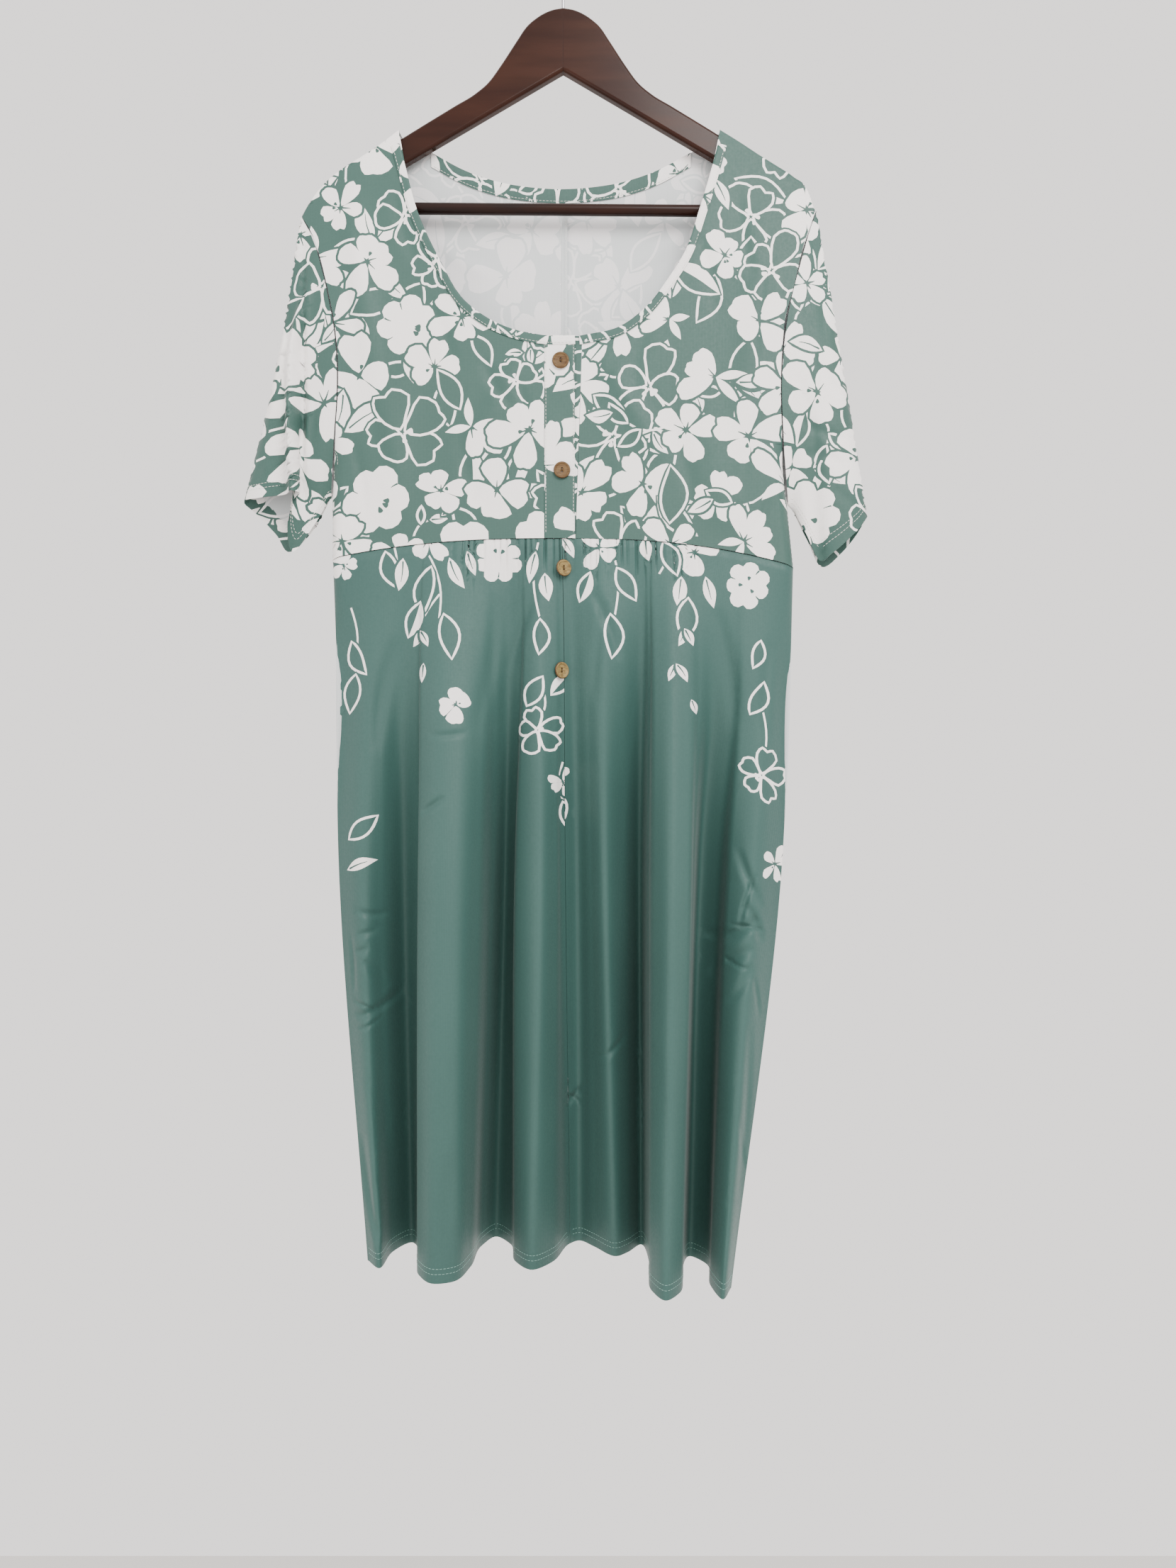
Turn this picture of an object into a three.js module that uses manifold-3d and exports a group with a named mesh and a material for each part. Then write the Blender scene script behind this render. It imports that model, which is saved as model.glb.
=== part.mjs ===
// Short-sleeved button-up dress hanging on a wooden coat hanger, in millimetres with +Z up.
// The origin is the inside top of the hanger's hook. +X is to the viewer's right, +Y is away
// from the viewer, and the hanger lies in the plane Y = 0. Every piece of cloth is a thin wall
// with the hang of the real garment: a flat bodice over the hanger, a gathered seam under the
// bust, and a long skirt that falls into deep uneven folds.
import * as THREE from 'three';
import { mergeVertices } from 'three/addons/utils/BufferGeometryUtils.js';
import Module from 'manifold-3d';

const wasm = await Module();
wasm.setup();

// Driving dimensions
const cloth = 1.0;              // wall of every piece of cloth
const seamGap = 0.3;            // space between two pieces at a seam
const layGap = 0.45;            // space under a piece that lies on another
const dressShift = -2.3;        // the dress hangs this far to the left of the hook
const neckHalf = 147.5;         // half width of the neck at the shoulder line
const shoulderTop = -173;       // height of the shoulder line at the neck
const neckFront = -365;         // height of the front neck edge at the centre
const neckBack = -217;          // height of the back neck edge at the centre
const waistSeam = -548;         // height of the empire seam at the centre
const hemHeight = -1204;        // height of the hem at the centre
const hemTilt = 0.037;          // the hem is lower on the right by this slope
const bodiceDepth = 16;         // how far front and back stand from the hanger's plane
const ridgeIn = 4;              // the cloth turns over the hanger within this height
const ridgeOut = 10;            // and stands out this far below the turn
const sideTurn = 12;            // width over which front and back turn to the side seam
const placketLeft = -14.6;
const placketRight = 13;
const placketStep = 1.5;        // the right front lies this far behind the band
const underWidthTop = 7;        // the under band shows this much at the neck
const underWidthLow = 0.8;      // and this much at the empire seam
const bindingWidth = 8;
const facingHeight = 13;
const gatherPitch = 6.8;
const gatherHeight = 1.0;
const gatherLeft = -97;
const gatherRight = 127;
const hangerThick = 11;
const barRadius = 5.2;
const wireRadius = 1.6;
const hookRadius = 19;
const buttonRadius = 7.6;
const buttonClear = 0.4;        // space between a button and the cloth

// Colours of the real pieces
const finish = {
  print: { color: 0x8fa89d, roughness: 0.6, metalness: 0 },
  plain: { color: 0x648c82, roughness: 0.6, metalness: 0 },
  wood: { color: 0x4a2516, roughness: 0.3, metalness: 0 },
  steel: { color: 0xb8babd, roughness: 0.25, metalness: 1 },
  button: { color: 0xa87d4b, roughness: 0.55, metalness: 0 },
};

// Edges of the bodice, as x and z of each point
const neckLineLeft = [
  { x: -neckHalf, z: shoulderTop }, { x: -140, z: -212 }, { x: -129.5, z: -251 },
  { x: -107, z: -300 }, { x: -89, z: -330.5 }, { x: -66, z: -349 }, { x: -44, z: -359 },
  { x: placketLeft, z: neckFront },
];
const neckLineRight = [
  { x: neckHalf - 2, z: shoulderTop }, { x: 138.5, z: -206 }, { x: 126, z: -249 },
  { x: 112, z: -290 }, { x: 98, z: -312.5 }, { x: 77.5, z: -339 }, { x: 55, z: -356 },
  { x: placketRight + underWidthTop, z: neckFront },
];
const neckLineBack = [
  { x: neckHalf, z: shoulderTop }, { x: 120, z: -186 }, { x: 89, z: -201.5 },
  { x: 58, z: -211 }, { x: 27, z: -215.6 }, { x: 0, z: neckBack },
];
const shoulderLeft = [
  { x: -neckHalf, z: shoulderTop }, { x: -169.5, z: -189.5 }, { x: -188.5, z: -201.5 },
  { x: -204, z: -212 }, { x: -221, z: -228.5 }, { x: -229.5, z: -241 }, { x: -236, z: -253 },
];
const shoulderRight = [
  { x: neckHalf - 2, z: shoulderTop }, { x: 162.5, z: -183.5 }, { x: 180, z: -195 },
  { x: 196, z: -205 }, { x: 212, z: -215.5 }, { x: 225, z: -228 }, { x: 232, z: -248 },
];
const armholeLeft = [
  { x: -236, z: -253 }, { x: -225, z: -271.5 }, { x: -219.5, z: -287 }, { x: -209, z: -328 },
  { x: -203.5, z: -357 }, { x: -200.5, z: -400 }, { x: -202.5, z: -443 }, { x: -206.5, z: -482 },
  { x: -208.7, z: -508 },
];
const armholeRight = [
  { x: 232, z: -248 }, { x: 220, z: -283 }, { x: 210, z: -324 }, { x: 203.5, z: -347 },
  { x: 200.4, z: -377 }, { x: 199, z: -417 }, { x: 200.4, z: -453 }, { x: 203.5, z: -490 },
  { x: 207, z: -515 },
];
const sideLow = { left: { x: -208.7, z: -566.5 }, right: { x: 213, z: -573.7 } };

// Folds of the skirt front from the left side seam to the right one. Each row is one line that
// runs down the skirt: its x at the empire seam, and its x and y at hip, middle and hem.
const skirtLevels = [0, 0.12, 0.42, 1];
const skirtFront = [
  { fold: 'side left', seamX: -208.7, hipX: -206, hipY: 0, midX: -204, midY: 0, hemX: -173, hemY: -21 },
  { fold: 'f0 crest', seamX: -180, hipX: -179, hipY: -13, midX: -180, midY: -19, hemX: -159, hemY: -37 },
  { fold: 'f0 edge', seamX: -160, hipX: -161, hipY: -15, midX: -163, midY: -9, hemX: -154, hemY: -2 },
  { fold: 'r0', seamX: -139, hipX: -143, hipY: -13, midX: -146, midY: 14, hemX: -139, hemY: 21 },
  { fold: 'f1 foot', seamX: -127, hipX: -130, hipY: -17, midX: -130, midY: 0, hemX: -129, hemY: 0 },
  { fold: 'f1 edge', seamX: -118, hipX: -120, hipY: -24, midX: -123, midY: -38, hemX: -123, hemY: -48 },
  { fold: 'f1 crest', seamX: -104, hipX: -106, hipY: -28, midX: -109, midY: -50, hemX: -110, hemY: -64 },
  { fold: 'f1 flat', seamX: -86, hipX: -88, hipY: -27, midX: -90, midY: -49, hemX: -92, hemY: -59 },
  { fold: 'f1 turn', seamX: -70, hipX: -70, hipY: -22, midX: -73, midY: -25, hemX: -80, hemY: -28 },
  { fold: 'r1 wall', seamX: -57, hipX: -57, hipY: -16, midX: -62, midY: 7, hemX: -74, hemY: 20 },
  { fold: 'r1', seamX: -45, hipX: -46, hipY: -11, midX: -52, midY: 24, hemX: -62, hemY: 42 },
  { fold: 'r1 rise', seamX: -37, hipX: -37, hipY: -14, midX: -43, midY: 12, hemX: -48, hemY: 26 },
  { fold: 'f2 edge', seamX: -30, hipX: -30, hipY: -20, midX: -38, midY: -18, hemX: -41, hemY: -12 },
  { fold: 'f2 crest', seamX: -18, hipX: -19, hipY: -24, midX: -18, midY: -32, hemX: -25, hemY: -29 },
  { fold: 'f2 turn', seamX: -7, hipX: -6, hipY: -20, midX: -5, midY: -16, hemX: -7, hemY: -10 },
  { fold: 'centre', seamX: 1.5, hipX: 3, hipY: -15, midX: 4, midY: 0, hemX: 8, hemY: 32 },
  { fold: 'r2', seamX: 10, hipX: 11, hipY: -12, midX: 14, midY: 10, hemX: 17, hemY: 40 },
  { fold: 'r2 rise', seamX: 21, hipX: 22, hipY: -16, midX: 26, midY: 0, hemX: 30, hemY: 28 },
  { fold: 'f3 crest', seamX: 38, hipX: 38, hipY: -22, midX: 41, midY: -15, hemX: 49, hemY: 7 },
  { fold: 'f3 turn', seamX: 54, hipX: 55, hipY: -18, midX: 58, midY: 5, hemX: 62, hemY: 17 },
  { fold: 'r3', seamX: 70, hipX: 71, hipY: -12, midX: 72, midY: 24, hemX: 75, hemY: 36 },
  { fold: 'f4 wall', seamX: 79, hipX: 80, hipY: -17, midX: 80, midY: -2, hemX: 81, hemY: -8 },
  { fold: 'f4 edge', seamX: 86, hipX: 87, hipY: -24, midX: 85, midY: -34, hemX: 80, hemY: -62 },
  { fold: 'f4 crest', seamX: 98, hipX: 99, hipY: -28, midX: 98, midY: -50, hemX: 91, hemY: -80 },
  { fold: 'f4 flat', seamX: 110, hipX: 112, hipY: -26, midX: 112, midY: -42, hemX: 104, hemY: -64 },
  { fold: 'f4 turn', seamX: 122, hipX: 126, hipY: -20, midX: 121, midY: -14, hemX: 110, hemY: -16 },
  { fold: 'r4', seamX: 137, hipX: 142, hipY: -15, midX: 132, midY: 18, hemX: 121, hemY: 13 },
  { fold: 'r4 rise', seamX: 150, hipX: 155, hipY: -16, midX: 145, midY: 10, hemX: 133, hemY: -2 },
  { fold: 'f5 edge', seamX: 166, hipX: 169, hipY: -18, midX: 156, midY: -14, hemX: 132, hemY: -46 },
  { fold: 'f5 crest', seamX: 188, hipX: 189, hipY: -14, midX: 174, midY: -25, hemX: 139, hemY: -73 },
  { fold: 'side right', seamX: 213, hipX: 211, hipY: 0, midX: 203, midY: 0, hemX: 150, hemY: -50 },
];
const centreRow = 15;

// Folds of the skirt back, from the left side seam to the right one
const skirtBack = [
  { fold: 'side left', seamX: -208.7, hipX: -206, hipY: 0, midX: -204, midY: 0, hemX: -173, hemY: -21 },
  { fold: 'b0 crest', seamX: -178, hipX: -180, hipY: 15, midX: -183, midY: 33, hemX: -166, hemY: 28 },
  { fold: 'b0 turn', seamX: -150, hipX: -152, hipY: 20, midX: -152, midY: 47, hemX: -146, hemY: 70 },
  { fold: 'b1 crest', seamX: -120, hipX: -121, hipY: 25, midX: -122, midY: 55, hemX: -122, hemY: 84 },
  { fold: 'b1 trough', seamX: -90, hipX: -91, hipY: 20, midX: -92, midY: 40, hemX: -93, hemY: 63 },
  { fold: 'b2 crest', seamX: -56, hipX: -57, hipY: 26, midX: -58, midY: 58, hemX: -62, hemY: 90 },
  { fold: 'b2 trough', seamX: -25, hipX: -24, hipY: 20, midX: -22, midY: 41, hemX: -25, hemY: 64 },
  { fold: 'b3 crest', seamX: 8, hipX: 9, hipY: 24, midX: 11, midY: 52, hemX: 8, hemY: 80 },
  { fold: 'b3 trough', seamX: 38, hipX: 39, hipY: 20, midX: 38, midY: 42, hemX: 36, hemY: 62 },
  { fold: 'b4 crest', seamX: 74, hipX: 75, hipY: 27, midX: 76, midY: 60, hemX: 68, hemY: 92 },
  { fold: 'b4 trough', seamX: 108, hipX: 110, hipY: 19, midX: 108, midY: 40, hemX: 97, hemY: 62 },
  { fold: 'b5 crest', seamX: 142, hipX: 144, hipY: 22, midX: 142, midY: 50, hemX: 126, hemY: 74 },
  { fold: 'b5 turn', seamX: 182, hipX: 182, hipY: 15, midX: 178, midY: 32, hemX: 147, hemY: 30 },
  { fold: 'side right', seamX: 213, hipX: 211, hipY: 0, midX: 203, midY: 0, hemX: 150, hemY: -50 },
];

// Sleeves. Each row is one line from the armhole seam to the cuff: how far down the armhole it
// starts, on which layer (-1 front, 1 back), and its place halfway down and at the cuff.
const sleeveLeft = [
  { arm: 0.00, layer: -1, midX: -259.5, midY: 0, midZ: -383, cuffX: -291, cuffY: 2, cuffZ: -510.5 },
  { arm: 0.06, layer: -1, midX: -256, midY: -9, midZ: -384, cuffX: -274, cuffY: -10, cuffZ: -510 },
  { arm: 0.12, layer: -1, midX: -250, midY: -11, midZ: -385, cuffX: -249.5, cuffY: -14, cuffZ: -508 },
  { arm: 0.18, layer: -1, midX: -244, midY: -19, midZ: -387, cuffX: -240, cuffY: -29, cuffZ: -508 },
  { arm: 0.25, layer: -1, midX: -237.5, midY: -13, midZ: -390, cuffX: -234, cuffY: -20, cuffZ: -508 },
  { arm: 0.33, layer: -1, midX: -231, midY: -11, midZ: -398, cuffX: -240, cuffY: -12, cuffZ: -511 },
  { arm: 0.45, layer: -1, midX: -224, midY: -14, midZ: -425, cuffX: -247, cuffY: -11, cuffZ: -532 },
  { arm: 0.62, layer: -1, midX: -218, midY: -13, midZ: -462, cuffX: -244.5, cuffY: -2, cuffZ: -557 },
  { arm: 0.82, layer: -1, midX: -212.5, midY: -8, midZ: -488, cuffX: -224, cuffY: -3, cuffZ: -531 },
  { arm: 1.00, layer: 0, midX: -211.5, midY: 0, midZ: -509, cuffX: -213, cuffY: 1, cuffZ: -511 },
  { arm: 0.82, layer: 1, midX: -213, midY: 9, midZ: -487, cuffX: -227, cuffY: 8, cuffZ: -533 },
  { arm: 0.58, layer: 1, midX: -223, midY: 13, midZ: -452, cuffX: -252, cuffY: 15, cuffZ: -554 },
  { arm: 0.34, layer: 1, midX: -238, midY: 14, midZ: -408, cuffX: -266, cuffY: 14, cuffZ: -537 },
  { arm: 0.14, layer: 1, midX: -251, midY: 11, midZ: -389, cuffX: -279, cuffY: 11, cuffZ: -523 },
];
const sleeveRight = [
  { arm: 0.00, layer: -1, midX: 258.7, midY: 0, midZ: -386, cuffX: 281.5, cuffY: 1, cuffZ: -524 },
  { arm: 0.08, layer: -1, midX: 253, midY: -10, midZ: -388, cuffX: 272, cuffY: -9, cuffZ: -537 },
  { arm: 0.20, layer: -1, midX: 243, midY: -14, midZ: -392, cuffX: 258, cuffY: -12, cuffZ: -551 },
  { arm: 0.34, layer: -1, midX: 233, midY: -16, midZ: -405, cuffX: 246, cuffY: -10, cuffZ: -561 },
  { arm: 0.52, layer: -1, midX: 223, midY: -14, midZ: -435, cuffX: 238, cuffY: -3, cuffZ: -566 },
  { arm: 0.77, layer: -1, midX: 213.5, midY: -10, midZ: -480, cuffX: 224, cuffY: -4, cuffZ: -541 },
  { arm: 1.00, layer: 0, midX: 210.5, midY: 0, midZ: -517, cuffX: 214, cuffY: 1, cuffZ: -521 },
  { arm: 0.77, layer: 1, midX: 214.5, midY: 10, midZ: -480, cuffX: 227, cuffY: 8, cuffZ: -544 },
  { arm: 0.52, layer: 1, midX: 225, midY: 14, midZ: -435, cuffX: 243, cuffY: 11, cuffZ: -569 },
  { arm: 0.30, layer: 1, midX: 238, midY: 15, midZ: -408, cuffX: 259, cuffY: 13, cuffZ: -557 },
  { arm: 0.12, layer: 1, midX: 251, midY: 11, midZ: -391, cuffX: 273, cuffY: 9, cuffZ: -540 },
];

// Buttons, with the angle by which each one faces to the right with the cloth under it
const buttons = [
  { name: 'button_1', x: 0.3, z: -388, turn: 0 },
  { name: 'button_2', x: 1.5, z: -487, turn: 3 },
  { name: 'button_3', x: 2.5, z: -575.5, turn: 30 },
  { name: 'button_4', x: 0.5, z: -667.5, turn: 38 },
];

// Half of the hanger's top edge, from the middle out, as x and z
const armTop = [
  { x: 10, z: -62.5 }, { x: 24.4, z: -69.8 }, { x: 34.8, z: -79.2 }, { x: 42, z: -90 },
  { x: 58, z: -114.5 }, { x: 67, z: -127 }, { x: 81, z: -139.4 }, { x: 98.5, z: -150 },
  { x: 148, z: -180.4 }, { x: 190, z: -207.2 }, { x: 199, z: -214 }, { x: 203.5, z: -223 },
];
const armPeak = -60.7;
const armLow = -118.6;
const armSlope = 0.588;
const barHeight = { left: -242, right: -245 };
const lugFoot = -253;
const lugInner = 190;

function clamp01(value) {
  return Math.min(1, Math.max(0, value));
}

function ease(from, to, value) {
  const t = clamp01((value - from) / (to - from));
  return t * t * (3 - 2 * t);
}

function mix(a, b, t) {
  return a + (b - a) * t;
}

// Smooth curve through values at uneven knots, as a plain number at one place
function curveAt(knots, values, place) {
  const last = knots.length - 1;
  let k = 0;
  while (k < last - 1 && place > knots[k + 1]) {
    k += 1;
  }
  const step = knots[k + 1] - knots[k];
  const t = (place - knots[k]) / step;
  const slope = (i) => {
    if (i === 0) {
      return (values[1] - values[0]) / (knots[1] - knots[0]);
    }
    if (i === last) {
      return (values[last] - values[last - 1]) / (knots[last] - knots[last - 1]);
    }
    const before = knots[i] - knots[i - 1];
    const after = knots[i + 1] - knots[i];
    const rise = (values[i] - values[i - 1]) / before;
    const next = (values[i + 1] - values[i]) / after;
    return (rise * after + next * before) / (before + after);
  };
  const t2 = t * t;
  const t3 = t2 * t;
  return (2 * t3 - 3 * t2 + 1) * values[k] + (t3 - 2 * t2 + t) * step * slope(k)
    + (-2 * t3 + 3 * t2) * values[k + 1] + (t3 - t2) * step * slope(k + 1);
}

// Knots from 0 to 1 along rows of a table, spaced by their distance in the named columns
function knotsOf(rows, columns) {
  const knots = [0];
  for (let i = 1; i < rows.length; i += 1) {
    const span = Math.hypot(...columns.map((key) => rows[i][key] - rows[i - 1][key]));
    knots.push(knots[i - 1] + span);
  }
  return knots.map((value) => value / knots[knots.length - 1]);
}

// A line through points with x and z, read by a share of its length
function lineThrough(points) {
  const knots = knotsOf(points, ['x', 'z']);
  const xs = points.map((point) => point.x);
  const zs = points.map((point) => point.z);
  return (t) => ({ x: curveAt(knots, xs, t), z: curveAt(knots, zs, t) });
}

// Height of the shoulder line over a place x, carried on upwards across the open neck
function ridgeZ(x) {
  const line = x < 0 ? shoulderLeft : shoulderRight;
  const inner = Math.abs(line[0].x);
  const outer = Math.abs(line[line.length - 1].x);
  const reach = Math.min(Math.abs(x), outer);
  if (reach <= inner) {
    return shoulderTop + (inner - reach) * 0.57;
  }
  return curveAt(line.map((point) => Math.abs(point.x)), line.map((point) => point.z), reach);
}

// Height of the empire seam, which dips towards the sides
function seamZ(x) {
  const low = x < 0 ? sideLow.left : sideLow.right;
  const share = Math.min(1, Math.abs(x / low.x));
  return mix(waistSeam, low.z, share ** 2.5);
}

function hemZ(x) {
  return hemHeight - x * hemTilt;
}

// Edge of the bodice at a height: armhole above, side seam below
function sideX(z, left) {
  const arm = left ? armholeLeft : armholeRight;
  const low = left ? sideLow.left : sideLow.right;
  const end = arm[arm.length - 1];
  if (z <= end.z) {
    return mix(end.x, low.x, clamp01((end.z - z) / (end.z - low.z)));
  }
  return curveAt(arm.map((point) => -point.z), arm.map((point) => point.x), -z);
}

// How far the bodice stands from the hanger's plane, the same on front and back
function bodiceStand(x, z) {
  const drop = Math.max(0, (ridgeZ(x) - z) * 0.87);
  const turn = 1 - Math.min(drop, ridgeIn) / ridgeIn;
  const top = ridgeOut * Math.sqrt(Math.max(0, 1 - turn * turn))
    + (bodiceDepth - ridgeOut) * ease(ridgeIn, 110, drop);
  const inward = Math.max(0, Math.abs(sideX(z, x < 0)) - Math.abs(x));
  const edge = 1 - Math.min(inward, sideTurn) / sideTurn;
  const side = Math.sqrt(Math.max(0, 1 - edge * edge));
  const sewn = 1 - ease(-506, -440, z);
  return top * mix(1, side, sewn);
}

// Soft troughs and ridges of the bodice front: a centre, a direction, a length, a width and a depth
const bodiceFolds = [
  { x: -178, z: -330, tilt: -0.14, long: 120, wide: 13, out: 3.2 },
  { x: -150, z: -470, tilt: 0.05, long: 90, wide: 16, out: 2.2 },
  { x: -60, z: -430, tilt: 0.55, long: 60, wide: 12, out: 2.0 },
  { x: 62, z: -425, tilt: -0.6, long: 58, wide: 12, out: 2.2 },
  { x: 176, z: -350, tilt: 0.1, long: 120, wide: 14, out: 2.6 },
  { x: 140, z: -490, tilt: -0.12, long: 75, wide: 16, out: 2.0 },
];

function foldSum(folds, x, z) {
  let sum = 0;
  for (const fold of folds) {
    const along = (z - fold.z) + (x - fold.x) * fold.tilt;
    const across = (x - fold.x) - (z - fold.z) * fold.tilt;
    sum += fold.out * Math.exp(-((along / fold.long) ** 2) - (across / fold.wide) ** 2);
  }
  return sum;
}

// Folds die away at the seams and at the open edges that carry other pieces
function calm(x, z) {
  const toSeam = ease(4, 40, z - seamZ(x));
  const toSide = ease(2, 26, Math.abs(sideX(z, x < 0)) - Math.abs(x));
  const toRidge = ease(10, 60, ridgeZ(x) - z);
  const toBand = ease(16, 44, Math.abs(x));
  return toSeam * toSide * toRidge * toBand;
}

// y of the cloth's outer face on each bodice panel
const frontY = (x, z) => -seamGap / 2 - bodiceStand(x, z) - foldSum(bodiceFolds, x, z) * calm(x, z);
const frontRightY = (x, z) => frontY(x, z) + placketStep * (1 - ease(24, 74, x));
const backY = (x, z) => seamGap / 2 + bodiceStand(x, z) + 0.6 * foldSum(bodiceFolds, -x, z) * calm(x, z);

// A four-sided patch between an inner line, an outer line, a top line and a bottom line
function patch(inner, outer, top, bottom) {
  return (u, v) => {
    const at = (key) => (1 - u) * inner(v)[key] + u * outer(v)[key]
      + (1 - v) * top(u)[key] + v * bottom(u)[key]
      - (1 - u) * (1 - v) * inner(0)[key] - u * (1 - v) * outer(0)[key]
      - (1 - u) * v * inner(1)[key] - u * v * outer(1)[key];
    return { x: at('x'), z: at('z') };
  };
}

// One line after another, with a sharp corner where they meet
function joinLines(first, second, corner) {
  return (v) => (v <= corner ? first(v / corner) : second((v - corner) / (1 - corner)));
}

const straight = (a, b) => (t) => ({ x: mix(a.x, b.x, t), z: mix(a.z, b.z, t) });

// A bodice panel as a surface over u, from the middle out, and v, from shoulder to empire seam
function bodicePanel(left, neckPoints, neckShare, edgeLow, yOf) {
  const shoulder = lineThrough(left ? shoulderLeft : shoulderRight);
  const arm = left ? armholeLeft : armholeRight;
  const low = left ? sideLow.left : sideLow.right;
  const neck = lineThrough(neckPoints);
  const neckEnd = neckPoints[neckPoints.length - 1];
  const middle = straight(neckEnd, { x: edgeLow, z: seamZ(edgeLow) });
  const outer = joinLines(lineThrough(arm), straight(arm[arm.length - 1], low), 0.8);
  const bottom = (u) => {
    const x = mix(edgeLow, low.x, u);
    return { x, z: seamZ(x) };
  };
  const flat = patch(joinLines(neck, middle, neckShare), outer, shoulder, bottom);
  return (u, v) => {
    const place = flat(u, v);
    return new THREE.Vector3(place.x, yOf(place.x, place.z), place.z + seamGap / 2 * v);
  };
}

// The skirt as a surface over u, from one side seam to the other, and t, from seam to hem
function skirtPanel(rows, layer) {
  const knots = knotsOf(rows, ['midX', 'midY', 'hemX', 'hemY']);
  const column = (key) => rows.map((row) => row[key]);
  const keys = ['seamX', 'hipX', 'hipY', 'midX', 'midY', 'hemX', 'hemY'];
  const columns = Object.fromEntries(keys.map((key) => [key, column(key)]));
  return {
    knots,
    point: (u, t) => {
      const at = (key) => curveAt(knots, columns[key], u);
      const seamX = at('seamX');
      const seamY = layer * (bodiceStand(seamX, seamZ(seamX)) + seamGap / 2);
      const x = curveAt(skirtLevels, [seamX, at('hipX'), at('midX'), at('hemX')], t);
      const shift = layer * seamGap / 2;
      const y = curveAt(skirtLevels, [seamY, at('hipY') + shift, at('midY') + shift, at('hemY') + shift], t);
      const top = seamZ(seamX) - seamGap;
      const z = mix(top, hemZ(x), t);
      return new THREE.Vector3(x, y + layer * gather(seamX, top - z), z);
    },
  };
}

// Small waves of the gathered seam: strongest just below it and gone a hand's breadth lower
function gather(x, below) {
  const inside = ease(gatherLeft - 6, gatherLeft + 8, x) * (1 - ease(gatherRight - 8, gatherRight + 6, x));
  const sway = 0.8 * Math.sin(x * 0.23) + 0.6 * Math.sin(x * 0.071 + 1);
  const reach = 44 + 14 * Math.sin(x * 0.17 + 2);
  const height = gatherHeight * ease(-6, 7, below) * (1 - ease(9, reach, below));
  return height * inside * Math.cos(2 * Math.PI * x / gatherPitch + sway);
}

// A sleeve as a closed surface over u, once round, and v, from armhole to cuff
function sleeveTube(rows, left) {
  const arm = lineThrough(left ? armholeLeft : armholeRight);
  const ring = rows.map((row) => {
    const top = arm(row.arm);
    const y = row.layer * (bodiceStand(top.x, top.z) + seamGap / 2);
    const outX = (left ? -1 : 1) * seamGap * 4.6;
    return { ...row, topX: top.x + outX, topY: row.arm === 0 ? 0 : y, topZ: top.z - 0.1 };
  });
  const wrapped = [ring[ring.length - 2], ring[ring.length - 1], ...ring, ring[0], ring[1], ring[2]];
  const all = knotsOf(wrapped, ['midX', 'midY', 'midZ', 'cuffX', 'cuffY', 'cuffZ']);
  const start = all[2];
  const turn = all[ring.length + 2] - start;
  const value = (key, u) => curveAt(all, wrapped.map((row) => row[key]), start + u * turn);
  const down = (axis, u, v) => curveAt([0, 0.5, 1],
    [value('top' + axis, u), value('mid' + axis, u), value('cuff' + axis, u)], v);
  return (u, v) => new THREE.Vector3(down('X', u, v), down('Y', u, v), down('Z', u, v));
}

// Way out of the cloth at a place, from the slope of its surface
function outward(surface, u, v, side) {
  const step = 0.002;
  const u0 = surface(u - step, v);
  const u1 = surface(u + step, v);
  const v0 = surface(u, Math.max(0, v - step));
  const v1 = surface(u, Math.min(1, v + step));
  return u1.sub(u0).cross(v1.sub(v0)).normalize().multiplyScalar(side);
}

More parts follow.
